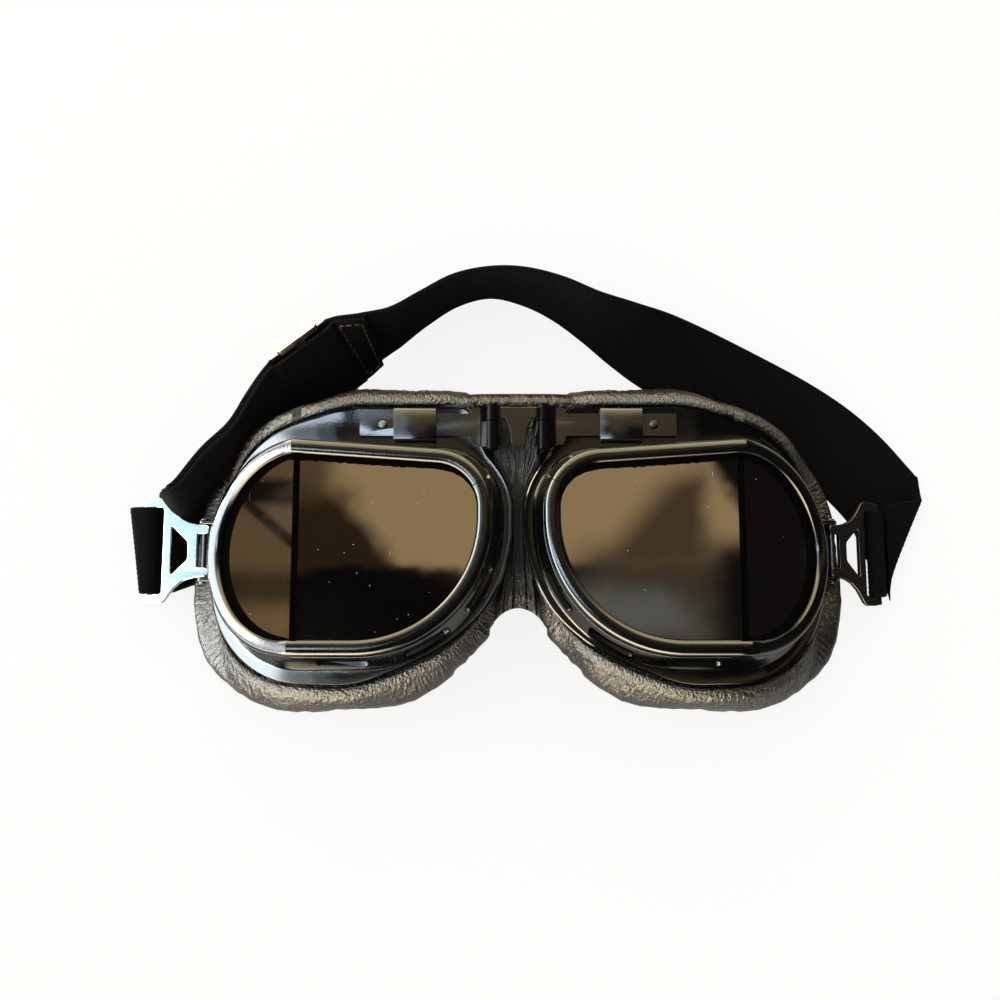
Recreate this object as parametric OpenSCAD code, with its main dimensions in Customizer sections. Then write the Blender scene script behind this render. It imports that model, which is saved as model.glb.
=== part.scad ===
// Split-lens riding goggles: two bent frames hinged at the nose, leather pads and an elastic strap.
// Units are millimetres, +Z is up off the table, +Y runs from the nose to the brow.

/* [Lenses] */
// Height of each lens opening
lens_h = 50.2; // [49.2:0.2:52]
// Distance from the middle of the goggles to the crease of each lens
crease_x = 60; // [59:0.25:61.5]
// Width of the side opening measured along the bent pane
side_w = 29.2; // [28:0.2:30.5]
// Angle between the front pane and the side pane
bend = 40; // [38:0.5:42]
// Thickness of the glass panes
pane_t = 2; // [1.6:0.1:2]

/* [Frames] */
// Width of the rolled bezel around each opening
bezel_w = 4; // [3.8:0.1:4.4]
// Height the bezel stands above the glass
bezel_up = 2.5; // [2:0.1:3]
// Thickness of the frame sheet
sheet_t = 1.2; // [0.8:0.1:1.2]
// Height of the vent slots in the frame wall
vent_h = 2.5; // [1.5:0.1:2.8]
// Length of the vent slots in the frame wall
vent_w = 14; // [8:0.5:15]

/* [Pads] */
// How much further the leather pads bulge than the frames
pad_bulge = 1; // [0.8:0.05:1.15]
// Thickness of the felt lining against the face
lining_t = 3; // [2:0.1:3]
// Thickness of the nose gusset
gusset_t = 6; // [4:0.5:7]

/* [Bridge] */
// Distance of each hinge axis from the middle
hinge_x = 7.1; // [6.9:0.05:7.3]
// Outer radius of the hinge knuckles
knuckle_r = 1.7; // [1.5:0.05:1.75]
// Radius of the hinge pins
hinge_pin_r = 0.8; // [0.6:0.05:0.9]
// Width of the sliding bars
bar_w = 6.2; // [5.6:0.1:6.4]
// Thickness of the sliding bars
bar_t = 1.4; // [1.1:0.05:1.4]
// Length of the bar sleeves
sleeve_l = 11.7; // [10:0.1:12]
// Radius of the stop rivets
stop_r = 1.3; // [1.1:0.05:1.4]

/* [Clips] */
// Radius of the strap pins
strap_pin_r = 0.75; // [0.6:0.05:0.8]
// Thickness of the clip plate
clip_t = 1.4; // [1:0.1:1.4]
// Angle the right clip hangs down at rest
clip_hang = 28; // [24:1:29]

/* [Strap] */
// Width of the webbing
strap_w = 25; // [24:0.25:25.5]
// Thickness of the webbing
strap_t = 1.5; // [1.3:0.05:1.6]
// Length of the sliding buckle along the strap
glide_l = 13.5; // [12.5:0.25:14]

/* [Hidden] */
$fn = 40;
shift = [-5.1, -3.5, 0];

satin_black = [0.05, 0.055, 0.06];
gloss_black = [0.02, 0.02, 0.02];
rubber_black = [0.03, 0.03, 0.03];
leather_black = [0.04, 0.035, 0.03];
felt_black = [0.06, 0.06, 0.06];
web_black = [0.02, 0.02, 0.02];
gauze_grey = [0.12, 0.12, 0.12];
smoke_glass = [0.25, 0.2, 0.14, 0.6];
steel = [0.5, 0.5, 0.5];
satin_steel = [0.7, 0.74, 0.78];
old_brass = [0.45, 0.4, 0.3];

// lens outline: [part, x or s, y, normal x, normal y]; part 0 front, 1 side, 2 crease
hh = lens_h / 2;
yc = -16.4;
lens_z = 37;
fall = 4;
nose_r = 12;
nose_cx = 22.8;
nose_tx = nose_cx + nose_r * cos(90 + fall);
nose_cy = hh - (crease_x - nose_tx) * tan(fall) - nose_r * sin(90 + fall);
low_r = 33;
low_cx = nose_cx - nose_r + low_r;
low_cy = low_r - hh;
tops = [6, 14, 22, 30];
nose_turns = [94, 100, 106, 112, 118, 124, 130, 138, 146, 154, 162, 171, 180];
outline = concat(
    [[2, crease_x, hh, 0, 1]],
    [for (k = tops) [0, crease_x - k, hh - k * tan(fall), -sin(fall), cos(fall)]],
    [for (a = nose_turns) [0, nose_cx + nose_r * cos(a), nose_cy + nose_r * sin(a), cos(a), sin(a)]],
    [for (a = [187.5 : 7.5 : 270]) [0, low_cx + low_r * cos(a), low_cy + low_r * sin(a), cos(a), sin(a)]],
    [for (k = [11, 5]) [0, crease_x - k, -hh, 0, -1]],
    [[2, crease_x, -hh, 0, -1]],
    [for (a = [-77 : 11 : 77]) let (m = norm([cos(a) / side_w, sin(a) / hh]))
        [1, side_w * cos(a), hh * sin(a), cos(a) / side_w / m, sin(a) / hh / m]]);

// a point d outside the opening and h above the glass
function lens_at(s, d, h) =
    s[0] == 0 ? [s[1] + d * s[3], yc + s[2] + d * s[4], lens_z + h] :
    s[0] == 2 ? [crease_x + h * tan(bend / 2), yc + s[2] + d * s[4], lens_z + h] :
    [crease_x + (s[1] + d * s[3]) * cos(bend) + h * sin(bend), yc + s[2] + d * s[4],
        lens_z - (s[1] + d * s[3]) * sin(bend) + h * cos(bend)];
function plan_dir(s) = s[0] == 1 ? [s[3], s[4] * cos(bend)] / norm([s[3], s[4] * cos(bend)]) : [s[3], s[4]];
function turn(s) = let (p = lens_at(s, 0, 0), a = atan2(p[1] - yc, p[0] - crease_x + 14)) a < 0 ? a + 360 : a;
function edge_at(s, gap) = let (p = lens_at(s, bezel_w, 0), q = plan_dir(s)) [p[0] + gap * q[0], p[1] + gap * q[1]];

// height of the flange, level over the nose and falling to the temples
knee = crease_x - 12;
function rim_z(x) = x < knee ? 28 : x < knee + 24 ? 28 - tan(30) * (x - knee) * (x - knee) / 48 :
    28 - tan(30) * (x - knee - 12);
gap_rim = [[0, 1.8], [30, 3], [55, 6.5], [75, 10.5], [90, 12.2], [120, 13], [137, 13.8], [140.4, 14.9],
    [143.9, 8], [147.6, 5.5], [152, 5.2], [200, 5.2], [215, 4.5], [235, 4.2], [250, 5], [270, 7.5],
    [300, 7], [330, 4.5], [345, 2.8], [360, 1.8]];
gap_wall = [[0, 0.6], [40, 1.2], [70, 2], [130, 2], [150, 2.8], [220, 2.8], [250, 3], [300, 3],
    [330, 1.6], [360, 0.6]];
function rim_gap(s) = lookup(turn(s), gap_rim);
function foot_gap(s) = lookup(turn(s), gap_wall);

// pad outlines measured out from the frame edge
spread_mid = [[0, 4], [20, 5], [40, 5], [60, 6], [90, 7], [130, 6.5], [140.4, 6], [143.9, 1.5], [147.6, -1.5],
    [152, -2.9], [186, -2.9], [195.6, 1], [200, 3.5], [206, 5.2], [217, 5.5], [228, 7.5], [240, 9],
    [252, 8.3], [265, 6], [280, 6], [300, 7], [330, 8], [345, 6], [360, 4]];
spread_low = [[0, 0.5], [137, 0.5], [143.9, -4], [150, -9.5], [200, -9.5], [225, -4], [245, 0.5], [360, 0.5]];
spread_foot = [[0, -5], [137, -5], [150, -12.5], [200, -12.5], [240, -5], [360, -5]];
spread_core = [[0, -6], [137, -6], [150, -7.5], [200, -7.5], [240, -6], [360, -6]];
pad_roll = [[0, 0], [25, 0], [40, 1], [137, 1], [143.9, 0.3], [150, 0], [205, 0], [225, 1], [322, 1], [337, 0], [360, 0]];
pad_tuck = [[0, 0], [143.9, 0], [150, 0.6], [195, 0.6], [205, 0], [360, 0]];

// a closed skin over rings of points; a whole turn, or a run with two ends
module skin(rings, whole = true, twin = false) {
    n = len(rings);
    m = len(rings[0]);
    last = whole ? n - 1 : n - 2;
    polyhedron([for (r = rings) each r], concat(
        [for (i = [0 : last], j = [0 : m - 1]) each
            let (a = i * m + j, b = i * m + (j + 1) % m, c = (i + 1) % n * m + j, d = (i + 1) % n * m + (j + 1) % m)
            (twin && j >= m / 2 ? [[a, c, b], [c, d, b]] : [[a, d, b], [a, c, d]])],
        whole ? [] : [for (j = [1 : m - 2]) each [[0, j, j + 1], [(n - 1) * m, (n - 1) * m + j + 1, (n - 1) * m + j]]]));
}
module handed(side) {
    if (side > 0) children();
    else mirror([1, 0, 0]) children();
}
module at_brow() {
    translate([0, lens_h / 2 - 25.1, 0]) children();
}
module placed() {
    translate(shift) children();
}

// frames
function shell_ring(s) =
    let (f = edge_at(s, foot_gap(s)), g = edge_at(s, rim_gap(s)), k = edge_at(s, foot_gap(s) - 1))
    [lens_at(s, -0.3, -3.05), lens_at(s, bezel_w, -3.05), [f[0], f[1], rim_z(f[0])], [g[0], g[1], rim_z(g[0])],
        [g[0], g[1], rim_z(g[0]) - sheet_t], [k[0], k[1], rim_z(k[0]) - sheet_t],
        lens_at(s, bezel_w - 1, -4), lens_at(s, -0.3, -4)];
rim_tx = crease_x + (side_w + bezel_w) * cos(bend) + gap_rim[0][1];
rim_tz = rim_z(rim_tx);
pin_x = rim_tx + 2;
pin_y = yc + 2.1;
pin_z = rim_tz - 0.3;
lug_r = strap_pin_r + 0.95;
module frame_shell_shape() {
    difference() {
        skin([for (s = outline) shell_ring(s)]);
        translate([11.5, -26.5, 30.6]) rotate(-58) cube([vent_w, 12, vent_h], center = true);
        translate([24.5, -41.5, 30.6]) rotate(-31) cube([vent_w, 12, vent_h], center = true);
        translate([47, -46, 30.6]) cube([vent_w, 12, vent_h], center = true);
        translate([14.5, 3.5, 30.6]) rotate(45) cube([vent_w * 0.7, 12, vent_h], center = true);
    }
    difference() {
        union() {
            for (v = [7.7, -8.7]) {
                translate([pin_x, pin_y + v + 1, pin_z]) rotate([90, 0, 0]) cylinder(h = 1, r = lug_r);
                translate([0, pin_y + v + 1, 0]) rotate([90, 0, 0]) linear_extrude(1)
                    polygon([[rim_tx - 3.2, rim_tz + 1.7], [rim_tx - 3.2, rim_tz + 0.8], [rim_tx, rim_tz - sheet_t],
                        [pin_x, pin_z - lug_r], [pin_x, pin_z + lug_r]]);
            }
        }
        translate([pin_x, pin_y + 10, pin_z]) rotate([90, 0, 0]) cylinder(h = 20, r = strap_pin_r + 0.03);
    }
}
module bezel_shape() {
    u = bezel_up;
    skin([for (s = outline) [lens_at(s, 0, 0.65), lens_at(s, 0, u - 0.6), lens_at(s, 1, u), lens_at(s, bezel_w - 1, u),
        lens_at(s, bezel_w, u - 0.8), lens_at(s, bezel_w, -3), lens_at(s, bezel_w - 0.6, -3), lens_at(s, bezel_w - 0.6, 0.65)]]);
}
module gasket_shape() {
    g = bezel_w - 0.75;
    b = -0.05 - pane_t;
    skin([for (s = outline) [lens_at(s, -0.3, -3), lens_at(s, -0.3, b), lens_at(s, 2.25, b), lens_at(s, 2.25, 0.05),
        lens_at(s, 0.3, 0.05), lens_at(s, 0.3, 0.6), lens_at(s, g, 0.6), lens_at(s, g, -3)]]);
}
pane_d = 2;
pane_gap = 1.2;
module front_pane_shape() {
    translate([0, 0, lens_z - pane_t]) linear_extrude(pane_t)
        polygon(concat([[crease_x - pane_gap, yc + hh + pane_d]],
            [for (s = outline) if (s[0] == 0) [s[1] + pane_d * s[3], yc + s[2] + pane_d * s[4]]],
            [[crease_x - pane_gap, yc - hh - pane_d]]));
}
module side_pane_shape() {
    translate([crease_x, yc, lens_z]) rotate([0, bend, 0]) translate([0, 0, -pane_t]) linear_extrude(pane_t)
        polygon(concat([[pane_gap, -hh - pane_d]],
            [for (s = outline) if (s[0] == 1) [s[1] + pane_d * s[3], s[2] + pane_d * s[4]]],
            [[pane_gap, hh + pane_d]]));
}
function on_side(t, h) = [crease_x + t * cos(bend) + h * sin(bend), lens_z - t * sin(bend) + h * cos(bend)];
function on_front(t, h) = [crease_x - t, lens_z + h];
module seam_strip_shape() {
    b = -0.05 - pane_t;
    w = pane_gap - 0.06;
    translate([0, yc + hh - 0.4, 0]) rotate([90, 0, 0]) linear_extrude(lens_h - 0.8)
        polygon([on_front(1.8, 0.05), on_front(1.8, 0.5), [crease_x + 0.5 * tan(bend / 2), lens_z + 0.5], on_side(1.8, 0.5),
            on_side(1.8, 0.05), on_side(w, 0.05), on_side(w, b), on_side(2.2, b), on_side(2.2, b - 0.45),
            [crease_x + (b - 0.45) * tan(bend / 2), lens_z + b - 0.45], on_front(2.2, b - 0.45), on_front(2.2, b),
            on_front(w, b), on_front(w, 0.05)]);
}
function mix(a, b, t) = a + (b - a) * t;
function gauze_ring(s) =
    let (a = lens_at(s, bezel_w - 1, -4), k = edge_at(s, foot_gap(s) - 1), b = [k[0], k[1], rim_z(k[0]) - sheet_t],
        q = [plan_dir(s)[0], plan_dir(s)[1], 0])
    [mix(a, b, 0.1) - 0.9 * q, mix(a, b, 0.1) - 0.3 * q, mix(a, b, 0.85) - 0.3 * q, mix(a, b, 0.85) - 0.9 * q];
module vent_gauze_shape() {
    skin([for (s = outline) if (turn(s) > 168 && turn(s) < 278 && s[0] == 0) gauze_ring(s)], false);
}
module strap_pin_shape() {
    translate([pin_x, pin_y + 8.75, pin_z]) rotate([90, 0, 0]) cylinder(h = 17.5, r = strap_pin_r);
    for (v = [9.25, -8.75])
        translate([pin_x, pin_y + v, pin_z]) rotate([90, 0, 0]) cylinder(h = 0.5, r = strap_pin_r + 0.4);
}

// pads
function pad_ring(s) =
    let (g = rim_gap(s), t = turn(s), k = lookup(t, pad_roll), m = lookup(t, pad_tuck), zr = rim_z(edge_at(s, g)[0]),
        o = [[-3.5, zr - 0.3 - sheet_t], [0.75 * k - 0.5 - m, zr - 0.3 - sheet_t], [0.3 + 0.3 * k - m, zr - 1.5 + 1.9 * k],
            [0.3 + 2.1 * k - m, zr - 1.8 + 2.8 * k], [0.5 + 4.1 * k - m, zr - 2.2 + 0.7 * k],
            [lookup(t, spread_mid) * pad_bulge, 0.7 * zr], [lookup(t, spread_low), lining_t + 0.3],
            [lookup(t, spread_foot), lining_t + 0.3], [lookup(t, spread_core), zr / 2 + 0.9]])
    [for (p = o) let (q = edge_at(s, g + p[0])) [q[0], q[1], p[1]]];
module pad_shape() {
    skin([for (s = outline) pad_ring(s)]);
}
module lining_shape() {
    linear_extrude(lining_t) difference() {
        polygon([for (s = outline) edge_at(s, rim_gap(s) + lookup(turn(s), spread_low) - 0.4)]);
        polygon([for (s = outline) edge_at(s, rim_gap(s) + lookup(turn(s), spread_foot) - 2.2)]);
    }
}
// nose gusset: [y, half width above, half width below, top z]
gusset_at = [[30.4, 11.2, 11.2, 24], [28.6, 11.6, 11.6, 25.4], [22, 10.5, 10.3, 25.4], [16, 9.2, 9.2, 25.4],
    [10.5, 7.7, 7.9, 25.4], [6.5, 5.2, 6.2, 25.4], [2.5, 2.8, 4.6, 25.4], [-2, 1.4, 3.6, 25.4], [-8, 1.1, 3.4, 25.2],
    [-16, 1.6, 3.8, 24.6], [-22.5, 3.3, 4.8, 23.4], [-29, 5.4, 5.2, 21], [-31.3, 5, 5, 19]];
module nose_gusset_shape() {
    skin([for (g = gusset_at)
        let (y = g[0] + max(-1, min(1, (g[0] + 2) / 15)) * (hh - 25.1))
        [[-g[1], y, g[3]], [g[1], y, g[3]], [g[2], y, g[3] - gusset_t], [-g[2], y, g[3] - gusset_t]]], false);
}

// bridge
hinge_z = 30.4;
bar_z = 28.1;
bar_y = 18.5;
pin_hole = hinge_pin_r + 0.05;
sleeve_x = 22.6;
stop_x = sleeve_x + sleeve_l + 1.7 + stop_r;
module knuckle(y0, y1, r) {
    translate([hinge_x, y1, hinge_z]) rotate([90, 0, 0]) cylinder(h = y1 - y0, r = r);
}
module bar_shape() {
    h = bar_w / 2;
    difference() {
        union() {
            translate([0, 0, bar_z]) linear_extrude(bar_t)
                polygon([[hinge_x + 1.9, 23.3], [12.5, 23.3], [13.3, bar_y + h], [stop_x + 6.3, bar_y + h],
                    [stop_x + 6.3, bar_y - h], [13.3, bar_y - h], [12.5, 13.1], [hinge_x + 1.9, 12.2],
                    [hinge_x + 1, 12.2], [hinge_x + 1, 19.2], [hinge_x + 1.9, 19.2]]);
            knuckle(11.4, 19.2, knuckle_r);
            translate([0, 19.2, 0]) rotate([90, 0, 0]) linear_extrude(7)
                polygon([[hinge_x, hinge_z - knuckle_r], [hinge_x + 2, bar_z], [hinge_x + 3, bar_z + bar_t],
                    [hinge_x + 1.2, hinge_z + 0.7], [hinge_x + 1, hinge_z]]);
        }
        knuckle(11, 20, pin_hole);
        translate([stop_x, bar_y, bar_z - 1]) cylinder(h = 5, r = stop_r * 0.55 + 0.02);
    }
}
module stop_rivet_shape() {
    translate([stop_x, bar_y, bar_z]) cylinder(h = bar_t, r = stop_r * 0.55);
    translate([stop_x, bar_y, bar_z + bar_t]) cylinder(h = 0.8, r1 = stop_r, r2 = stop_r * 0.75);
}
module sleeve_shape() {
    w = bar_w / 2 + 1.45;
    c = bar_w / 2 + 0.06;
    t = bar_z + bar_t + 0.12;
    translate([sleeve_x, 0, 0]) rotate([90, 0, 90]) linear_extrude(sleeve_l)
        polygon([[bar_y - w, 28], [bar_y - w, t + 0.5], [bar_y - w + 0.3, t + 0.8], [bar_y + w - 0.3, t + 0.8],
            [bar_y + w, t + 0.5], [bar_y + w, 28], [bar_y + c, 28], [bar_y + c, t], [bar_y - c, t], [bar_y - c, 28]]);
}
module link_plate_shape() {
    difference() {
        union() {
            translate([0, 0, 31]) linear_extrude(1)
                polygon([[-5.9, 20.4], [-5.9, 22.8], [5.9, 22.8], [5.9, 20.4], [3.6, 19.6], [2.4, 17.6], [1.9, 15],
                    [1.9, 12.8], [1.1, 12], [-1.1, 12], [-1.9, 12.8], [-1.9, 15], [-2.4, 17.6], [-3.6, 19.6]]);
            for (side = [-1, 1]) handed(side) knuckle(19.4, 23.6, knuckle_r);
        }
        for (side = [-1, 1]) handed(side) knuckle(19, 24, hinge_pin_r + 0.02);
    }
}
module hinge_pin_shape() {
    knuckle(11.35, 23.65, hinge_pin_r);
    knuckle(23.65, 24.15, hinge_pin_r + 0.5);
    knuckle(10.95, 11.35, hinge_pin_r + 0.3);
}

// clips, drawn from the strap pin outwards
module clip_plate() {
    s = strap_w / 2 + 0.2;
    translate([0, 0, 0.3]) linear_extrude(clip_t) difference() {
        polygon([[17.1, s + 1.6], [12, s + 2.1], [7.9, 9.4], [3, 7.4], [0, 7.4], [0, 5.15], [1.8, 5.15], [1.8, -5.15],
            [0, -5.15], [0, -7.4], [3, -7.4], [7.9, -9.4], [12, -s - 2.1], [17.1, -s - 1.6]]);
        translate([12.2, -s]) square([3.4, 2 * s]);
        polygon([[9.8, 7.1], [4.4, 2.5], [4.4, -2.5], [9.8, -7.1]]);
    }
}
module clip_shape() {
    difference() {
        union() {
            clip_plate();
            for (v = [7.4, -5.15]) translate([0, v, 0]) rotate([90, 0, 0]) cylinder(h = 2.25, r = 1.6);
        }
        translate([0, 10, 0]) rotate([90, 0, 0]) cylinder(h = 20, r = strap_pin_r + 0.05);
    }
}
module strap_loop_shape() {
    b = 0.3;
    m = 0.3 + clip_t / 2;
    g = clip_t / 2 + b;
    translate([0, strap_w / 2, 0]) rotate([90, 0, 0]) linear_extrude(strap_w) difference() {
        polygon([[15.6 - b - strap_t, m - g - 0.6], [16.1 - strap_t, m - g - strap_t], [17.1, m - g - strap_t],
            [17.1 + b + strap_t, m - g - 0.3], [17.1 + b + strap_t, m + g + 0.3], [17.1, m + g + strap_t],
            [16.1 - strap_t, m + g + strap_t], [15.6 - b - strap_t, m + g + 0.6]]);
        translate([15.6 - b, m - g]) square([1.5 + 2 * b, 2 * g]);
    }
}
module at_pin(side) {
    handed(side) translate([pin_x, pin_y, pin_z]) rotate([0, side > 0 ? clip_hang : 0, 0]) children();
}

// strap: [x, y, z, heading of the width, lift of the width], left clip to right clip
route = [[-105.6, -14.4, 8.5, 98, 0], [-101, -13.2, 7.8, 104, 3], [-96.8, -9.2, 6.9, 116, 4],
    [-93.4, -0.6, 13, 128, 60], [-92.6, 5, 12.8, 147, 88], [-88.2, 13, 12.8, 145, 96],
    [-80.8, 19.8, 12.8, 137, 94], [-72.6, 25.4, 13.6, 131, 75], [-66, 31, 14.6, 128, 57],
    [-63.6, 32.9, 14.6, 128, 57], [-51, 42.7, 14.6, 128, 57], [-48.6, 44.6, 14.6, 128, 57], [-42, 47.6, 13.9, 117, 72],
    [-34.5, 52.2, 13.2, 118, 82], [-27, 57.5, 12.8, 122, 86], [-18, 62.8, 12.8, 113, 88],
    [-8, 65.2, 12.8, 94, 89], [2, 64, 12.8, 80, 84], [12, 60.3, 12.7, 66, 78], [22, 54.6, 12.3, 62, 70],
    [32, 49.5, 10.7, 62, 54], [42, 45, 8.4, 63, 36], [54, 39.5, 6.2, 63, 24], [67, 33, 4.9, 61, 18],
    [79, 26.5, 4.1, 60, 14], [89.5, 20, 2.9, 56, 8], [98, 13, 2, 50, 4], [105, 5.5, 1.3, 48, 0],
    [108.6, 0, 1.15, 54, 0], [110.6, -5.2, 1.15, 64, 0], [111.9, -8.2, 1.9, 67, 0], [112.2, -10.2, 3.2, 67, 0],
    [110.9, -11.4, 4.6, 71, 0], [109.2, -12.6, 5.15, 80, 0], [107.1, -13.9, 5.2, 90, 0]];
function grown(r) = let (k = min(1, max(0, (r[1] + 2) / 20)), j = max(-1, min(1, r[0] / 89)))
    [r[0] + j * (pin_x - 89.23), r[1] + k * (hh - 25.1), r[2] + (strap_w / 2 - 12.5) * sin(r[4]) + (strap_t - 1.5) / 2,
        cos(r[3]) * cos(r[4]), sin(r[3]) * cos(r[4]), sin(r[4])];
path = [for (r = route) grown(r)];
function path_at(u) =
    let (i = max(0, min(floor(u), len(path) - 2)), t = u - i, a = path[max(i - 1, 0)], b = path[i], c = path[i + 1],
        d = path[min(i + 2, len(path) - 1)])
    0.5 * (2 * b + (c - a) * t + (2 * a - 5 * b + 4 * c - d) * t * t + (3 * b - a - 3 * c + d) * t * t * t);
function xyz(v) = [v[0], v[1], v[2]];
function along(u) = let (v = xyz(path_at(u + 0.02)) - xyz(path_at(u - 0.02))) v / norm(v);
function across(u) = let (q = path_at(u), w = [q[3], q[4], q[5]]) w / norm(w);
function web_ring(u, low, high) =
    let (p = xyz(path_at(u)), v = cross(along(u), across(u)), w = across(u) * strap_w / 2 * min(1.12, 1 / norm(v)),
        n = v / norm(v))
    [p + n * low - w, p + n * low + w, p + n * high + w, p + n * high - w];
module web(u0, u1, step, low, high) {
    k = round((u1 - u0) / step);
    skin([for (i = [0 : k]) web_ring(mix(u0, u1, i / k), low, high)], false);
}
// the doubled webbing opens around the middle bar of the buckle and ends in a sewn seam
opening = [[8, 0.85], [8.7, 1.45], [9, 1.5], [10, 1.5], [10.3, 1.45], [11, 0.85]];
closing = [[8, 0.85], [8.7, 1.45], [9, 1.5], [10, 1.5], [10.3, 1.45], [11, 0.85], [12.1, 0.85], [12.8, 0]];
module layer(u0, u1, step, side, gaps) {
    k = round((u1 - u0) / step);
    skin([for (i = [0 : k]) let (u = mix(u0, u1, i / k), o = side * lookup(u, gaps) * strap_t / 1.5)
        web_ring(u, o - strap_t / 2, o + strap_t / 2)], false, true);
}
module strap_left_run_shape() {
    layer(3.4, 12.8, 0.2, -1, closing);
}
module strap_left_return_shape() {
    layer(3.4, 12, 0.2, 1, opening);
}
module strap_left_fold_shape() {
    web(0, 3.35, 0.335 / 2, -strap_t - 0.05, strap_t + 0.05);
}
module strap_arch_shape() {
    web(12.84, 22.97, 0.26, -strap_t / 2, strap_t / 2);
}
module strap_right_run_shape() {
    web(23, 28, 0.25, -strap_t / 2, strap_t / 2);
}
module strap_right_fold_shape() {
    web(28.08, 34, 0.185, -strap_t / 2, strap_t / 2);
}

// sliding buckle: bars across the strap joined by lobed ends
module glide_body() {
    g = glide_l / 2;
    e = strap_w / 2 + 0.35;
    k = strap_t * 1.5 + 0.35;
    translate([-1.6, -e - 0.2, -0.4]) cube([3.2, 2 * e + 0.4, 0.8]);
    for (x = [g - 2.9, -g + 0.5]) translate([x, -e - 0.2, -k - 1]) cube([2.4, 2 * e + 0.4, 1]);
    for (y = [e + 1.8, -e]) translate([0, y, 0]) rotate([90, 0, 0]) linear_extrude(1.8)
        polygon([[-g, -k - 0.7], [-g + 0.7, -k - 1.2], [-3, -k - 1.2], [-2.2, -k - 0.6], [-2.2, -0.5], [2.2, -0.5], [2.2, -k - 0.6],
            [3, -k - 1.2], [g - 0.7, -k - 1.2], [g, -k - 0.7], [g, -0.2], [g - 0.8, 0.5], [2.4, 0.5], [-2.4, 0.5],
            [-g + 0.8, 0.5], [-g, -0.2]]);
}
module tri_glide_shape() {
    t = along(9.5);
    w = across(9.5);
    n = cross(t, w);
    p = xyz(path_at(9.5));
    multmatrix([[t[0], w[0], n[0], p[0]], [t[1], w[1], n[1], p[1]], [t[2], w[2], n[2], p[2]], [0, 0, 0, 1]])
        glide_body();
}

module frame_shell(side) {
    color(satin_black) placed() handed(side) frame_shell_shape();
}
module bezel(side) {
    color(satin_black) placed() handed(side) bezel_shape();
}
module gasket(side) {
    color(rubber_black) placed() handed(side) gasket_shape();
}
module front_pane(side) {
    color(smoke_glass) placed() handed(side) front_pane_shape();
}
module side_pane(side) {
    color(smoke_glass) placed() handed(side) side_pane_shape();
}
module seam_strip(side) {
    color(gloss_black) placed() handed(side) seam_strip_shape();
}
module vent_gauze(side) {
    color(gauze_grey) placed() handed(side) vent_gauze_shape();
}
module strap_pin(side) {
    color(steel) placed() handed(side) strap_pin_shape();
}
module pad(side) {
    color(leather_black) placed() handed(side) pad_shape();
}
module lining(side) {
    color(felt_black) placed() handed(side) lining_shape();
}
module bar(side) {
    color(gloss_black) placed() handed(side) at_brow() bar_shape();
}
module stop_rivet(side) {
    color(steel) placed() handed(side) at_brow() stop_rivet_shape();
}
module sleeve(side) {
    color(gloss_black) placed() handed(side) at_brow() sleeve_shape();
}
module hinge_pin(side) {
    color(gloss_black) placed() handed(side) at_brow() hinge_pin_shape();
}
module clip(side) {
    color(satin_steel) placed() at_pin(side) clip_shape();
}
module strap_loop(side) {
    color(web_black) placed() at_pin(side) strap_loop_shape();
}
module nose_gusset() {
    color(leather_black) placed() nose_gusset_shape();
}
module link_plate() {
    color(gloss_black) placed() at_brow() link_plate_shape();
}
module strap_left_run() {
    color(web_black) placed() strap_left_run_shape();
}
module strap_left_return() {
    color(web_black) placed() strap_left_return_shape();
}
module strap_left_fold() {
    color(web_black) placed() strap_left_fold_shape();
}
module strap_arch() {
    color(web_black) placed() strap_arch_shape();
}
module strap_right_run() {
    color(web_black) placed() strap_right_run_shape();
}
module strap_right_fold() {
    color(web_black) placed() strap_right_fold_shape();
}
module tri_glide() {
    color(old_brass) placed() tri_glide_shape();
}

link_plate();
hinge_pin(-1);  // left_hinge_pin
hinge_pin(1);  // right_hinge_pin
nose_gusset();
strap_arch();
bar(-1);  // left_bar
stop_rivet(-1);  // left_stop_rivet
sleeve(-1);  // left_sleeve
frame_shell(-1);  // left_frame_shell
bezel(-1);  // left_bezel
gasket(-1);  // left_gasket
front_pane(-1);  // left_front_pane
side_pane(-1);  // left_side_pane
seam_strip(-1);  // left_seam_strip
vent_gauze(-1);  // left_vent_gauze
strap_pin(-1);  // left_strap_pin
pad(-1);  // left_pad
lining(-1);  // left_lining
strap_left_run();
strap_left_return();
strap_left_fold();
clip(-1);  // left_clip
strap_loop(-1);  // strap_left_loop
tri_glide();
bar(1);  // right_bar
stop_rivet(1);  // right_stop_rivet
sleeve(1);  // right_sleeve
frame_shell(1);  // right_frame_shell
bezel(1);  // right_bezel
gasket(1);  // right_gasket
front_pane(1);  // right_front_pane
side_pane(1);  // right_side_pane
seam_strip(1);  // right_seam_strip
vent_gauze(1);  // right_vent_gauze
strap_pin(1);  // right_strap_pin
pad(1);  // right_pad
lining(1);  // right_lining
strap_right_run();
strap_right_fold();
clip(1);  // right_clip
strap_loop(1);  // strap_right_loop
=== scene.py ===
# %% [markdown]
# # Riding goggles
# The solids were drawn in a CAD program and packed as a fixed frame. This notebook dresses that frame for a
# picture: the metal that is already right gets bevels and a finish, and everything soft or rolled is built
# again as a smooth mesh over the same outline. Reading it from the top teaches one idea a step.

# %% load the frame
import math
import bpy
import bmesh
from mathutils import Matrix, Vector, noise


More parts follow.
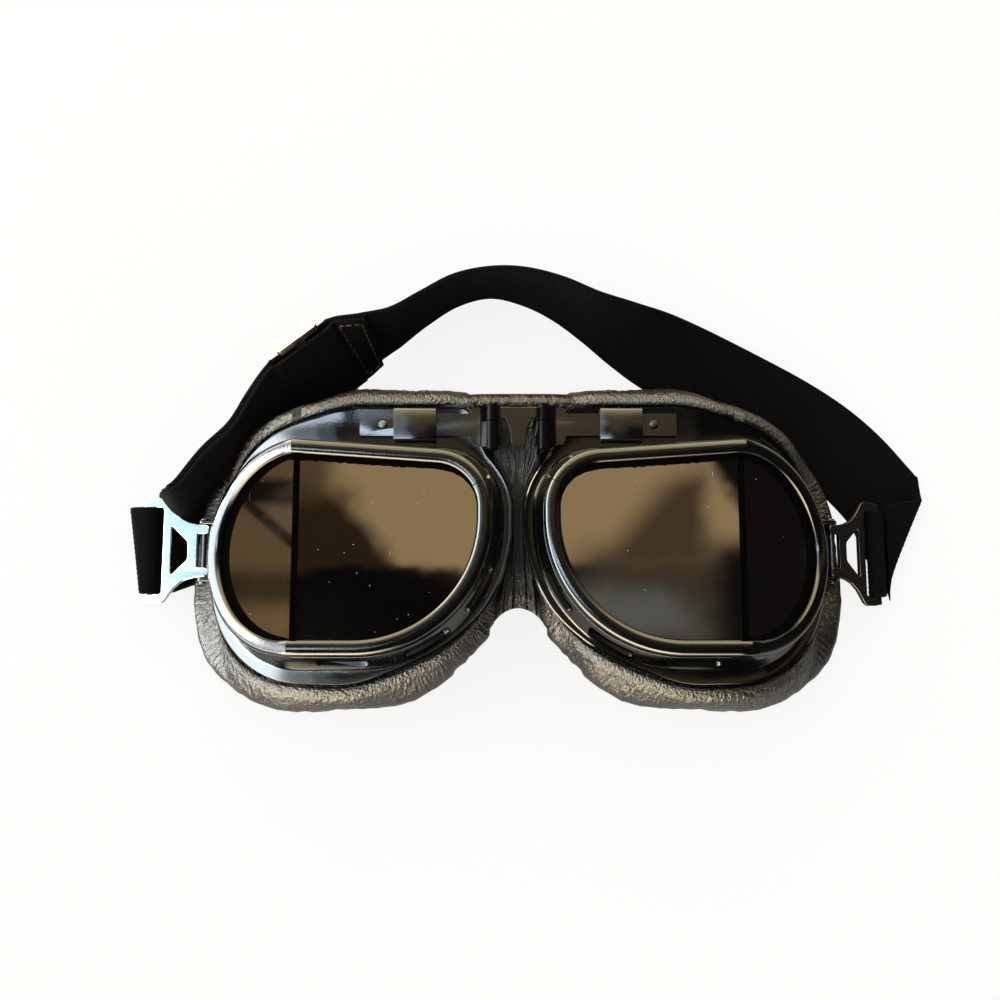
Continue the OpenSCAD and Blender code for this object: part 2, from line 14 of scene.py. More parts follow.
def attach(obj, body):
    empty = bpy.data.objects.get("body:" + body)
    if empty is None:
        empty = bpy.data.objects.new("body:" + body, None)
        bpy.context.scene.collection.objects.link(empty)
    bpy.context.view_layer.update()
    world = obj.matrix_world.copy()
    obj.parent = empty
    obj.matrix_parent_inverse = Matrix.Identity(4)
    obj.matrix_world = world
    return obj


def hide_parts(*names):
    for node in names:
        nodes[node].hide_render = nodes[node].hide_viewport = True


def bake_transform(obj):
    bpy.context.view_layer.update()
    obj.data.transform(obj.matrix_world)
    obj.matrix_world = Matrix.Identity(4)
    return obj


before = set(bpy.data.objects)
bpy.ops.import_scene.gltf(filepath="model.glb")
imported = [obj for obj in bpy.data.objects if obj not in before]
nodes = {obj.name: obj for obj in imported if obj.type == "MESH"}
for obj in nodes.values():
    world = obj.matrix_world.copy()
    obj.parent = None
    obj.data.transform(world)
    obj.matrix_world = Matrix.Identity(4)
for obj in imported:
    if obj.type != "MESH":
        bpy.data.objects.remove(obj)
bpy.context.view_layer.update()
MM = 0.001
SHIFT = Vector((-5.1, -3.5, 0.0))
SIDES = ((-1, "left"), (1, "right"))
print("CAD nodes:", len(nodes))

# %% [markdown]
# ## Camera
# The photograph was taken from almost straight above and from close by. The camera is set from three values
# that were fitted to it: 80 degrees above the table, 380 mm from the goggles, and a lens of about 48 mm.
# Setting it first means that every later step can be judged in the same picture.

# %% camera
CAMERA_RISE, CAMERA_AWAY, LENS_MM, FILM_MM = math.radians(80), 380, 48.2, 36
AIM = Vector((-5, 0, 15))

def spot(x, y, z):
    """Millimetres from the middle of the goggles, as metres in the frame."""
    return (Vector((x, y, z)) + SHIFT) * MM

target = spot(*AIM)
eye = spot(AIM.x, AIM.y - CAMERA_AWAY * math.cos(CAMERA_RISE), AIM.z + CAMERA_AWAY * math.sin(CAMERA_RISE))
cam_data = bpy.data.cameras.new("camera")
cam_data.lens = LENS_MM
cam_data.sensor_width = FILM_MM
cam_data.clip_start = 0.01
camera = bpy.data.objects.new("camera", cam_data)
camera.location = eye
camera.rotation_euler = (target - eye).to_track_quat("-Z", "Y").to_euler()
bpy.context.scene.collection.objects.link(camera)
bpy.context.scene.camera = camera
print("camera at", [round(v, 3) for v in eye])

# %% [markdown]
# ## Small tools
# A skin is a row of rings joined by faces, like hoops under cloth. Most of the goggles is one such skin: the
# hoops are cross-sections and they follow the outline of the lens. The other tools keep the steps short.

# %% skins
def put(obj):
    bpy.context.scene.collection.objects.link(obj)
    return obj

def shade(mesh, sharp):
    """Smooth shading, except at edges that turn by more than the angle."""
    mesh.shade_smooth()
    mesh.set_sharp_from_angle(angle=math.radians(sharp))

def skin(name, rings, side=1, whole=True, sharp=40):
    """A closed mesh over rings of millimetre points; side -1 mirrors it to the left eye."""
    count, size = len(rings), len(rings[0])
    points = [spot(side * p[0], p[1], p[2]) for ring in rings for p in ring]
    faces = []
    for i in range(count if whole else count - 1):
        k = (i + 1) % count
        for j in range(size):
            n = (j + 1) % size
            faces.append((i * size + j, i * size + n, k * size + n, k * size + j))
    if not whole:
        faces += [tuple(range(size)), tuple(range((count - 1) * size, count * size))]
    mesh = bpy.data.meshes.new(name)
    mesh.from_pydata(points, [], faces)
    work = bmesh.new()
    work.from_mesh(mesh)
    bmesh.ops.recalc_face_normals(work, faces=work.faces)
    work.to_mesh(mesh)
    work.free()
    shade(mesh, sharp)
    return put(bpy.data.objects.new(name, mesh))

def joined(name, objects):
    """Several meshes as one object."""
    work = bmesh.new()
    for o in objects:
        work.from_mesh(o.data)
    mesh = bpy.data.meshes.new(name)
    work.to_mesh(mesh)
    work.free()
    for o in objects:
        bpy.data.objects.remove(o)
    shade(mesh, 40)
    return put(bpy.data.objects.new(name, mesh))

def as_mesh(obj):
    """The mesh that an object shows with its modifiers or its curve settings."""
    return bpy.data.meshes.new_from_object(obj.evaluated_get(bpy.context.evaluated_depsgraph_get()))

print("skins ready")

# %% curves, tables and maps
def polar(degrees):
    a = math.radians(degrees)
    return math.cos(a), math.sin(a)

def clamp(x):
    return max(0.0, min(1.0, x))

def bell(x, middle, width):
    return math.exp(-((x - middle) / width) ** 2)

def glide(a, b, c, d, t):
    """A smooth step from b to c, with a and d as the neighbours."""
    return 0.5 * (2 * b + (c - a) * t + (2 * a - 5 * b + 4 * c - d) * t * t + (3 * b - a - 3 * c + d) * t ** 3)

def loop_curve(points, steps):
    """A smooth closed curve through the points."""
    out, n = [], len(points)
    for i in range(n):
        near = [Vector(points[(i + k) % n]) for k in (-1, 0, 1, 2)]
        out += [glide(*near, s / steps) for s in range(steps)]
    return out

def relax(rings, times):
    """Evens out the rings along the outline, so that no kink is left from one to the next."""
    for _ in range(times):
        n = len(rings)
        rings = [[0.25 * Vector(a) + 0.5 * Vector(b) + 0.25 * Vector(c)
                  for a, b, c in zip(rings[i - 1], rings[i], rings[(i + 1) % n])] for i in range(n)]
    return rings

def lookup(x, table):
    if x <= table[0][0]:
        return table[0][1]
    for (a, p), (b, q) in zip(table, table[1:]):
        if x <= b:
            return p + (q - p) * (x - a) / (b - a)
    return table[-1][1]

def flat_map(obj, layer, size, along, across):
    """A map in millimetres for a skin of rings: across is a step, or a list with a place for each point."""
    uv = obj.data.uv_layers.new(name=layer)
    for loop in obj.data.loops:
        ring, k = divmod(loop.vertex_index, size)
        uv.data[loop.index].uv = (ring * along, across[k] if isinstance(across, list) else k * across)

def dress(obj, mat, slot=None):
    obj.data.materials.clear()
    obj.data.materials.append(mat)
    return obj

def settle(obj, mat, slot, body, node):
    """Gives a piece its finish and the body that carries it, and hides the CAD node it stands for."""
    dress(obj, mat, slot)
    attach(obj, body)
    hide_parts(node)

print("curves, tables and maps ready")

# %% [markdown]
# ## Materials
# Each finish is a small network of nodes. A base colour alone looks like plastic, so every one has something
# that varies: grain, brushing, wear or dust. The patterns are made by noise and cells measured in metres,
# so they keep their real size on every piece. The class `net` gives the nodes short names. The world's
# network uses it too, and `finish` adds what only a material has.

# %% short names for nodes
class net:
    """One node network, of a material or of the world."""
    def __init__(self, tree):
        self.tree = tree

    def link(self, a, b):
        self.tree.links.new(a, b)

    def feed(self, value, socket):
        """Gives a socket a number, a colour, or a link from another socket."""
        if isinstance(value, tuple):
            socket.default_value = (*value, 1)
        elif isinstance(value, (int, float)):
            socket.default_value = value
        else:
            self.link(value, socket)

    def node(self, kind, **inputs):
        n = self.tree.nodes.new(kind)
        for key, value in inputs.items():
            n.inputs[key.replace("_", " ")].default_value = value
        return n

    def math(self, kind, *values):
        n = self.node("ShaderNodeMath")
        n.operation = kind
        for value, socket in zip(values, n.inputs):
            self.feed(value, socket)
        return n.outputs[0]

    def blend(self, amount, a, b):
        n = self.node("ShaderNodeMix")
        n.data_type = "RGBA"
        for value, i in ((amount, 0), (a, 6), (b, 7)):
            self.feed(value, n.inputs[i])
        return n.outputs[2]

    def mix(self, amount, a, b):
        """Two shaders in one."""
        n = self.node("ShaderNodeMixShader")
        for value, i in ((amount, 0), (a, 1), (b, 2)):
            self.feed(value, n.inputs[i])
        return n.outputs[0]

    def ramp(self, source, low, high, from_low=0.0, from_high=1.0):
        n = self.node("ShaderNodeMapRange", From_Min=from_low, From_Max=from_high, To_Min=low, To_Max=high)
        self.link(source, n.inputs["Value"])
        return n.outputs["Result"]

print("net ready")

# %% what only a material has
class finish(net):
    """One material's network, round its main shader."""
    def __init__(self, name, color, rough, metal=0.0):
        self.mat = bpy.data.materials.new(name)
        self.mat.use_nodes = True
        super().__init__(self.mat.node_tree)
        self.skin = self.tree.nodes["Principled BSDF"]
        self.set(Base_Color=(*color, 1), Roughness=rough, Metallic=metal)
        self.where = self.node("ShaderNodeTexCoord").outputs["Object"]

    def set(self, **values):
        for key, value in values.items():
            self.skin.inputs[key.replace("_", " ")].default_value = value

    def drive(self, name, source):
        self.link(source, self.skin.inputs[name])

    def flat(self, layer):
        n = self.node("ShaderNodeUVMap")
        n.uv_map = layer
        return n.outputs["UV"]

    def mapped(self, source, scale, turned=0.0):
        n = self.node("ShaderNodeMapping", Scale=scale, Rotation=(0, 0, turned))
        self.link(source, n.inputs["Vector"])
        return n.outputs["Vector"]

    def noise(self, scale, detail=4.0, source=None):
        n = self.node("ShaderNodeTexNoise", Scale=scale, Detail=detail)
        self.link(self.where if source is None else source, n.inputs["Vector"])
        return n.outputs["Fac"]

    def cells(self, scale, feature="F1", source=None):
        n = self.node("ShaderNodeTexVoronoi", Scale=scale)
        n.feature = feature
        self.link(self.where if source is None else source, n.inputs["Vector"])
        return n.outputs["Distance"]

    def bump(self, height, depth, strength=1.0, under=None):
        n = self.node("ShaderNodeBump", Strength=strength, Distance=depth)
        self.link(height, n.inputs["Height"])
        if under is not None:
            self.link(under, n.inputs["Normal"])
        self.drive("Normal", n.outputs["Normal"])
        return n.outputs["Normal"]

    def surface(self, shader):
        self.link(shader, self.tree.nodes["Material Output"].inputs["Surface"])

print("finish ready")

# %% [markdown]
# ### Paint and metal
# The frames are satin black powder coat: a soft orange-peel bump and slightly uneven gloss. The bars are
# gloss enamel with fine dust; beside the knuckles their gloss and coat fade out, as painted shade. The left
# clip is satin steel, brushed along its length, and the right clip, the same part, is black paint that stands
# for the shade it lies in. The buckle is old brass-nickel whose colour wanders between tan and grey.

# %% paint and metal
PEEL, BRUSH_DEPTH, DUST_LIFT = 0.00004, 0.00002, 0.012
# Where the painted shade beside the knuckles begins and ends, in metres out from the middle.
KNUCKLE_SHADE_FROM, KNUCKLE_SHADE_TO = (0.0046, 0.0052), (0.0103, 0.0106)

def paint(name, color, rough, shine, coat=0.0, knuckle_shade=False):
    g = finish(name, color, rough)
    g.bump(g.noise(1400, 3), PEEL, 0.35)
    g.drive("Roughness", g.ramp(g.noise(90, 6), rough * 0.8, rough * 1.3, 0.35, 0.65))
    dust = g.ramp(g.noise(3200, 2), 0.0, 1.0, 0.70, 0.78)
    g.drive("Base Color", g.blend(dust, color, tuple(c + DUST_LIFT for c in color)))
    g.set(Specular_IOR_Level=shine, Coat_Weight=coat, Coat_Roughness=0.12)
    # Beside the knuckles the gloss and coat fade out: painted shade, which keeps the knuckles black.
    if knuckle_shade:
        place = g.node("ShaderNodeSeparateXYZ")
        g.link(g.where, place.inputs[0])
        out_by = g.math("ABSOLUTE", g.math("SUBTRACT", place.outputs[0], SHIFT.x * MM))
        unshaded = g.math("MAXIMUM", g.ramp(out_by, 1.0, 0.0, *KNUCKLE_SHADE_FROM), g.ramp(out_by, 0.0, 1.0, *KNUCKLE_SHADE_TO))
        g.drive("Specular IOR Level", g.ramp(unshaded, 0.03, shine))
        g.drive("Coat Weight", g.ramp(unshaded, 0.0, coat))
    return g.mat

def brushed(name, color, rough, stretch, wander=None):
    g = finish(name, color, rough, 1.0)
    lines = g.noise(900, 5, g.mapped(g.where, stretch))
    g.bump(lines, BRUSH_DEPTH, 0.3)
    g.drive("Roughness", g.ramp(lines, rough * 0.75, rough * 1.35, 0.3, 0.7))
    if wander:
        g.drive("Base Color", g.blend(g.ramp(g.noise(350, 5), 0, 1, 0.42, 0.58), color, wander))
    return g.mat

satin_black = paint("satin black coat", (0.003, 0.0031, 0.0032), 0.12, 0.5)
gloss_black = paint("gloss black enamel", (0.004, 0.004, 0.004), 0.13, 0.6, coat=0.25, knuckle_shade=True)
pin_black = paint("black oxide knuckle pin", (0.003, 0.003, 0.003), 0.3, 0.03)
# The right clip is the same part as the left; its black paint is painted shade.
clip_in_painted_shade = paint("clip in painted shade", (0.005, 0.005, 0.0055), 0.25, 0.4)
rivet_metal = brushed("worn rivet", (0.14, 0.14, 0.15), 0.35, (1, 1, 1), (0.03, 0.03, 0.03))
pin_metal = brushed("black oxide pin", (0.10, 0.10, 0.11), 0.32, (1, 0.05, 1))
# The left clip's steel is the lit copy of the same part.
lit_clip_metal = brushed("satin steel clip, lit copy", (0.70, 0.80, 0.84), 0.13, (0.05, 1, 1))
buckle_metal = brushed("old buckle metal", (0.20, 0.16, 0.115), 0.34, (1, 1, 0.1), (0.30, 0.29, 0.27))
print("painted and brushed finishes:", len(bpy.data.materials))

# %% [markdown]
# ### Rubber, seam strip and gauze
# Old rubber and the seam strip hardly shine, so their mirror part is switched off. The gauze is dark wire
# with black holes: cells smaller than a millimetre give both the colour and the bump.

# %% rubber, seam strip and gauze
g = finish("black rubber", (0.003, 0.003, 0.003), 0.62)
g.bump(g.noise(2600, 3), 0.00003, 0.4)
g.set(Specular_IOR_Level=0.0)
rubber = g.mat

g = finish("seam strip", (0.002, 0.002, 0.002), 0.18)
g.bump(g.noise(1800, 2, g.mapped(g.where, (1, 0.2, 1))), 0.00003, 0.3)
g.set(Specular_IOR_Level=0.0)
seam_black = g.mat

g = finish("black gauze", (0.035, 0.035, 0.036), 0.6)
holes = g.cells(1500)
g.bump(g.ramp(holes, 0, 1, 0.12, 0.3), 0.0002, 1.0)
g.drive("Base Color", g.blend(g.ramp(holes, 0, 1, 0.15, 0.25), (0.0, 0.0, 0.0), (0.06, 0.06, 0.065)))
g.set(Specular_IOR_Level=0.1)
gauze = g.mat
print("hard finishes:", len(bpy.data.materials))

# %% [markdown]
# ### Leather, felt and webbing
# Leather grain is the pattern of cell borders at about a millimetre, over broad soft creases. Where the hide
# is pulled over an edge it shows fine lines across that edge, so each leather piece carries a flat map, in
# millimetres along and across, and a noise stretched over that map draws the lines. Felt is fine noise with
# a little sheen. Webbing has a weave of two crossing waves that is far smaller than its ribs,
# which are real geometry.

# %% leather
def hide(name, shine):
    g = finish(name, (0.006, 0.0055, 0.005), 0.36)
    grain = g.ramp(g.cells(1050, "DISTANCE_TO_EDGE"), 0, 1, 0.0, 0.28)
    pulls = g.noise(1.9, 4, g.mapped(g.flat("hide"), (1.0, 0.16, 1.0)))
    soft = g.bump(g.noise(160, 4), 0.0005, 0.35)
    pulled = g.bump(pulls, 0.0011, 0.8, soft)
    fine = g.bump(grain, 0.00007, 0.5, pulled)
    g.bump(g.noise(5200, 2), 0.00002, 0.3, fine)
    g.drive("Roughness", g.ramp(g.noise(75, 5), 0.25, 0.42, 0.35, 0.65))
    worn = g.ramp(g.noise(45, 4), 0, 1, 0.4, 0.7)
    g.drive("Base Color", g.blend(worn, (0.004, 0.0035, 0.003), (0.009, 0.007, 0.005)))
    g.set(Specular_IOR_Level=shine)
    return g.mat

# The gusset gets a copy of the leather with less shine, which keeps it dark between the frames: painted shade.
leather, leather_in_painted_shade = hide("black leather", 0.5), hide("black leather in painted shade", 0.3)
print("leathers:", leather.name, "and", leather_in_painted_shade.name)

# %% felt, webbing and thread
g = finish("black felt", (0.02, 0.02, 0.021), 0.95)
g.bump(g.noise(3800, 6), 0.00025, 0.8)
g.drive("Base Color", g.blend(g.noise(2500, 3), (0.012, 0.012, 0.012), (0.035, 0.034, 0.036)))
g.set(Sheen_Weight=0.25)
felt = g.mat

g = finish("black webbing", (0.004, 0.004, 0.004), 0.82)
flat, waves = g.flat("weave"), []
for axis in "XY":
    wave = g.node("ShaderNodeTexWave", Scale=1.0, Distortion=0.4, Detail=1.0)
    wave.bands_direction = axis
    g.link(flat, wave.inputs["Vector"])
    waves.append(wave.outputs["Fac"])
g.bump(g.math("MULTIPLY", *waves), 0.0002, 0.8)
g.drive("Base Color", g.blend(g.noise(1200, 3), (0.0025, 0.0025, 0.0028), (0.007, 0.0065, 0.0065)))
g.set(Specular_IOR_Level=0.02)
webbing = g.mat

g = finish("black thread", (0.015, 0.015, 0.016), 0.5)
g.bump(g.noise(4000, 2), 0.00003, 0.5)
thread = g.mat
print("soft finishes:", felt.name, webbing.name, thread.name)

# %% [markdown]
# ### Smoke glass
# The panes are dark and half mirrored, so they mostly show the room above. A mirror layer is mixed over a
# nearly black pane. Dust specks, a few hair-fine straight scratches and faint smudges catch the light, and
# keep the glass from looking perfect.

# %% glass
MIRRORED = 0.62
g = finish("smoke glass", (0.004, 0.0035, 0.003), 0.04)
g.set(Transmission_Weight=0.2, IOR=1.5)
mirror = g.node("ShaderNodeBsdfGlossy", Color=(0.60, 0.56, 0.50, 1))
g.link(g.ramp(g.noise(60, 4), 0.012, 0.045, 0.4, 0.7), mirror.inputs["Roughness"])
half_mirror = g.mix(MIRRORED, g.skin.outputs[0], mirror.outputs[0])
speck = g.node("ShaderNodeBsdfDiffuse", Color=(0.62, 0.60, 0.55, 1))
dots = g.ramp(g.cells(520), 1.0, 0.0, 0.05, 0.09)
some_dots = g.math("MULTIPLY", dots, g.ramp(g.noise(330, 3), 0.0, 1.0, 0.60, 0.63))
lines = g.ramp(g.cells(230, source=g.mapped(g.where, (1, 0.10, 1), 0.35)), 0.8, 0.0, 0.015, 0.03)
some_lines = g.math("MULTIPLY", lines, g.ramp(g.noise(260, 2), 0.0, 1.0, 0.52, 0.56))
g.surface(g.mix(g.math("MAXIMUM", some_dots, some_lines), half_mirror, speck.outputs[0]))
glass = g.mat
print("glass ready")

# %% [markdown]
# ## The lens outline
# One closed outline drives most of the goggles: a flat top that falls a little towards the nose, two arcs
# on the nose side, a flat bottom, and half an ellipse on the side pane, which is bent back by 40 degrees.
# Each station on it knows its outward direction, so `lens_at(station, d, h)` is the point d outside the
# opening and h above the glass. The same rule drew the CAD solids, so the two always agree.

# %% outline
HALF, CREASE, SIDE_W, BEZEL, BEND = 25.1, 60.0, 29.2, 4.0, math.radians(40)
YC, LENS_Z, FALL = -16.4, 37.0, math.radians(4)
NOSE_R, NOSE_X, LOW_R = 12.0, 22.8, 33.0
NOSE_FROM, LOW_FROM = 94, 182
touch = NOSE_X + NOSE_R * polar(NOSE_FROM)[0]
NOSE_Y = HALF - (CREASE - touch) * math.tan(FALL) - NOSE_R * polar(NOSE_FROM)[1]
LOW_X, LOW_Y = NOSE_X - NOSE_R + LOW_R, LOW_R - HALF
FRONT, SIDE, AT_CREASE = 0, 1, 2

def make_outline():
    """Stations of part, x, y, and the outward direction, from the crease round by the nose and back."""
    stations = [(AT_CREASE, CREASE, HALF, 0, 1)]
    for k in [2.4 + 0.8 * i for i in range(42)]:
        stations.append((FRONT, CREASE - k, HALF - k * math.tan(FALL), -math.sin(FALL), math.cos(FALL)))
    for x, y, r, angles in ((NOSE_X, NOSE_Y, NOSE_R, [NOSE_FROM + 2.15 * i for i in range(41)]),
                            (LOW_X, LOW_Y, LOW_R, [LOW_FROM + 2 * i for i in range(45)])):
        for c, n in map(polar, angles):
            stations.append((FRONT, x + r * c, y + r * n, c, n))
    for k in (13, 10, 8, 6, 4, 2.4):
        stations.append((FRONT, CREASE - k, -HALF, 0, -1))
    stations.append((AT_CREASE, CREASE, -HALF, 0, -1))
    for c, n in map(polar, [-84 + 3 * i for i in range(57)]):
        m = math.hypot(c / SIDE_W, n / HALF)
        stations.append((SIDE, SIDE_W * c, HALF * n, c / SIDE_W / m, n / HALF / m))
    return stations

outline = make_outline()
print("outline stations:", len(outline))

# %% [markdown]
# The pane's two faces are planes, so a point on either is found by two small formulas. The shell and the pad
# are seen in plan instead: their edges lie a given gap outside the bezel, and the gap changes with the angle
# round the eye. A table of angle and gap holds that, as a tailor's pattern would.

# %% places on the outline
def on_side(w, y, h):
    """A point of the side pane's plane, w from the crease and h above the glass."""
    return Vector((CREASE + w * math.cos(BEND) + h * math.sin(BEND), YC + y,
                   LENS_Z - w * math.sin(BEND) + h * math.cos(BEND)))

def lens_at(s, d, h):
    part, x, y, nx, ny = s
    if part == SIDE:
        return on_side(x + d * nx, y + d * ny, h)
    px = x + d * nx if part == FRONT else CREASE + h * math.tan(BEND / 2)
    return Vector((px, YC + y + d * ny, LENS_Z + h))

def plan_dir(s):
    return Vector((s[3], s[4] * (math.cos(BEND) if s[0] == SIDE else 1), 0)).normalized()

def turn(s):
    """The angle of a station round the eye, in degrees."""
    p = lens_at(s, 0, 0)
    return math.degrees(math.atan2(p.y - YC, p.x - CREASE + 14)) % 360

def edge_at(s, gap):
    p = lens_at(s, BEZEL, 0) + plan_dir(s) * gap
    return Vector((p.x, p.y, 0))

def rim_z(x):
    """The flange's height: level in front, curving down and back along the temple."""
    k = x - CREASE + 12
    return 28.0 if k < 0 else 28 - math.tan(math.radians(30)) * (k * k / 48 if k < 24 else k - 12)

GAP_RIM = [(0, 1.8), (30, 3), (55, 6.5), (75, 10.5), (90, 12.2), (120, 13), (137, 13.8), (140.4, 14.9),
           (143.9, 8), (147.6, 5.5), (152, 5.2), (200, 5.2), (215, 4.5), (235, 4.2), (250, 5), (270, 7.5),
           (300, 7), (330, 4.5), (345, 2.8), (360, 1.8)]
GAP_WALL = [(0, 0.6), (40, 1.2), (70, 2), (130, 2), (150, 2.8), (220, 2.8), (250, 3), (300, 3), (330, 1.6),
            (360, 0.6)]
turns = [turn(s) for s in outline]
print("rim from %.1f to %.1f mm high" % (rim_z(90), rim_z(0)))

# %% [markdown]
# ## Frame shells
# Each frame is one pressing: a seat for the lens, a wall that flares down, and a flat flange that carries
# the pad. A rounded lip is rolled on the flange's edge, because a cut edge looks like paper. The vent slots
# are cut with a boolean, the way a punch would, and the gauze behind them shows through.

# %% punches
def slot_punch(length, x, y, angle, height=2.8, z=30.9, reach=7):
    """A slot-shaped punch with round ends."""
    ring, round_end = [], height / 2
    for c, n in (polar(360 * k / 24) for k in range(24)):
        ring.append((math.copysign(length / 2 - round_end, c) + round_end * c, round_end * n))
    turned = Matrix.Rotation(math.radians(angle), 3, "Z")
    return [[turned @ Vector((u, depth, v)) + Vector((x, y, z)) for u, v in ring] for depth in (-reach, reach)]

def cut(obj, tool_rings, side):
    tool = skin("punch", tool_rings, side, whole=False)
    m = obj.modifiers.new("slot", "BOOLEAN")
    m.operation = "DIFFERENCE"
    m.solver = "EXACT"
    m.object = tool
    mesh = as_mesh(obj)
    obj.modifiers.clear()
    obj.data = mesh
    bpy.data.objects.remove(tool)

print("punches ready")

# %% frame shells
VENTS = ((14, 11.5, -26.5, -58), (14, 24.5, -41.5, -31), (14, 47, -46, 0), (9.8, 14.5, 3.5, 45))
SEAT, SEAT_BACK, SHELL_SHARP = -3.05, -4, 28
ROLLED_LIP = [(-0.75, 0), (-0.35, -0.1), (-0.05, 0.1), (0, 0.5), (-0.05, 0.95), (-0.35, 1.15), (-0.8, 1.0)]

def shell_ring(s):
    t = turn(s)
    rim, wall = lookup(t, GAP_RIM), lookup(t, GAP_WALL)
    def at(gap, down):
        p = edge_at(s, gap)
        return Vector((p.x, p.y, rim_z(p.x) - down))
    top, low = lens_at(s, BEZEL, SEAT), lens_at(s, BEZEL - 1, SEAT_BACK)
    foot, inner = at(wall, 0), at(wall - 1, 1.2)
    seat = [lens_at(s, -0.3, SEAT), lens_at(s, BEZEL - 0.3, SEAT)]
    outside = [top.lerp(foot, k) for k in (0.04, 0.5, 0.93)] + [at(wall + 0.25, 0)]
    lip = [at(rim + gap, down) for gap, down in ROLLED_LIP]
    inside = [at(wall - 0.7, 1.0), inner.lerp(low, 0.12), inner.lerp(low, 0.6), low]
    return seat + outside + lip + inside + [lens_at(s, -0.3, SEAT_BACK)]

for side, name in SIDES:
    shell = skin(name + "_shell_pressing", relax([shell_ring(s) for s in outline], 1), side, sharp=SHELL_SHARP)
    for vent in VENTS:
        cut(shell, slot_punch(*vent), side)
    shade(shell.data, SHELL_SHARP)
    settle(shell, satin_black, "satin_black", name + "_frame", name + "_frame_shell")
    print(shell.name, "has", len(shell.data.polygons), "faces")

# %% [markdown]
# ## Strap lugs
# Two small ears on each temple hold the strap pin. They are plates with a rounded end, drawn in profile and
# given a thickness, with the hole left in the middle. They belong to the pressing and share its paint.

# %% lugs
RIM_X = CREASE + (SIDE_W + BEZEL) * math.cos(BEND) + 1.8
PIN_X, PIN_Y, PIN_Z = RIM_X + 2, YC + 2.1, rim_z(RIM_X) - 0.3
LUG_R, LUG_AT = 1.7, (7.7, -8.7)

def lug_rings(v):
    foot = [(RIM_X - 3.2, rim_z(RIM_X) + 1.6), (RIM_X - 3.2, rim_z(RIM_X) + 0.6), (RIM_X, rim_z(RIM_X) - 1.2)]
    profile = foot + [(PIN_X + LUG_R * c, PIN_Z + LUG_R * n) for c, n in map(polar, range(-105, 91, 15))]
    mx, mz = (sum(p[i] for p in profile) / len(profile) for i in (0, 1))
    return [[(mx + (p[0] - mx) * inset, PIN_Y + v + depth, mz + (p[1] - mz) * inset) for p in profile]
            for depth, inset in ((0, 0.92), (0.15, 1.0), (0.85, 1.0), (1.0, 0.92))]

for side, name in SIDES:
    lugs = joined(name + "_lug_pair", [skin("lug", lug_rings(v), side, whole=False) for v in LUG_AT])
    dress(lugs, satin_black, "satin_black")
    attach(lugs, name + "_frame")
print("strap pins %.1f mm from the middle" % PIN_X)

# %% [markdown]
# ## Bezels and gaskets
# The bezel is a rolled ring that clamps the glass. Its profile is rounded with many points, so that the long
# thin highlights of the photograph run along it. A hairline slit on the nose side shows where the ring's
# ends meet. Under it sits a rubber gasket, a channel round the edge of the glass. Its lip shows as a black
# border that is wider and a little ragged along the top.

# %% bezels
BEZEL_PROFILE = [(0, 0.65), (-0.03, 1.5), (0.05, 1.95), (0.28, 2.25), (0.65, 2.38), (1.2, 2.44), (2.0, 2.48),
                 (2.8, 2.42), (3.3, 2.28), (3.65, 2.0), (3.87, 1.6), (3.96, 1.1), (4.0, 0.4), (3.98, -0.8),
                 (4.0, -2.2), (4.08, -2.8), (3.95, -3.0), (3.55, -3.0), (3.42, -2.7), (3.4, -1), (3.4, 0.65)]
SIDE_LEAN, BEZEL_SHARP, SLIT_AT, SLIT_HALF = 0.22, 34, 152, 0.12

def bezel_ring(s):
    """The profile at a station. On the side pane the ring leans in, so its top turns towards the sky."""
    lean = SIDE_LEAN * max(0.0, s[3]) if s[0] == SIDE else 0.0
    return [lens_at(s, d, h + lean * (d - 1) * clamp(h)) for d, h in BEZEL_PROFILE]

c, n = polar(SLIT_AT)
slit_middle = Vector((NOSE_X + (NOSE_R + 2) * c, YC + NOSE_Y + (NOSE_R + 2) * n, LENS_Z))
turned = Matrix.Rotation(math.radians(SLIT_AT), 3, "Z")
slit = [[slit_middle + turned @ Vector((x, y, z)) for x, y in
         ((-3, -SLIT_HALF), (3, -SLIT_HALF), (3, SLIT_HALF), (-3, SLIT_HALF))] for z in (0.9, 4)]
for side, name in SIDES:
    ring = skin(name + "_bezel_ring", [bezel_ring(s) for s in outline], side, sharp=BEZEL_SHARP)
    cut(ring, slit, side)
    shade(ring.data, BEZEL_SHARP)
    settle(ring, satin_black, "satin_black", name + "_frame", name + "_bezel")
print("bezel profile points:", len(BEZEL_PROFILE))

# %% gaskets
def lip(s, k):
    """How far the rubber reaches over the glass at a station."""
    if s[0] == SIDE:
        return 0.9 + 1.6 * max(0.0, s[3])
    top = max(0.0, s[4]) ** (3 if s[0] == FRONT else 1)
    return 0.35 + 1.15 * top + 0.35 * top * noise.noise(Vector((k * 0.9, 7.7, 0)))

def gasket_ring(s, k):
    reach = lip(s, k)
    profile = [(-0.3, -3), (-0.38, -2.7), (-0.3, -2.05), (2.25, -2.05), (2.25, 0.04), (-reach, 0.04),
               (-reach - 0.08, 0.14), (-reach, 0.24), (0.2, 0.32), (0.3, 0.6), (3.25, 0.6), (3.25, -3)]
    return [lens_at(s, d, h) for d, h in profile]

for side, name in SIDES:
    seal = skin(name + "_glass_seal", [gasket_ring(s, k) for k, s in enumerate(outline)], side)
    settle(seal, rubber, "rubber", name + "_frame", name + "_gasket")
print("gaskets ready")

# %% [markdown]
# ## Panes and the seam
# Each lens is two flat panes. Their meeting edges are mitred on the plane that halves the bend, so the panes
# almost touch, and a thin black strip covers the joint. Each pane is the outline cut off at the crease, two
# millimetres thick, with its edge broken by a small chamfer as a glazier would do.

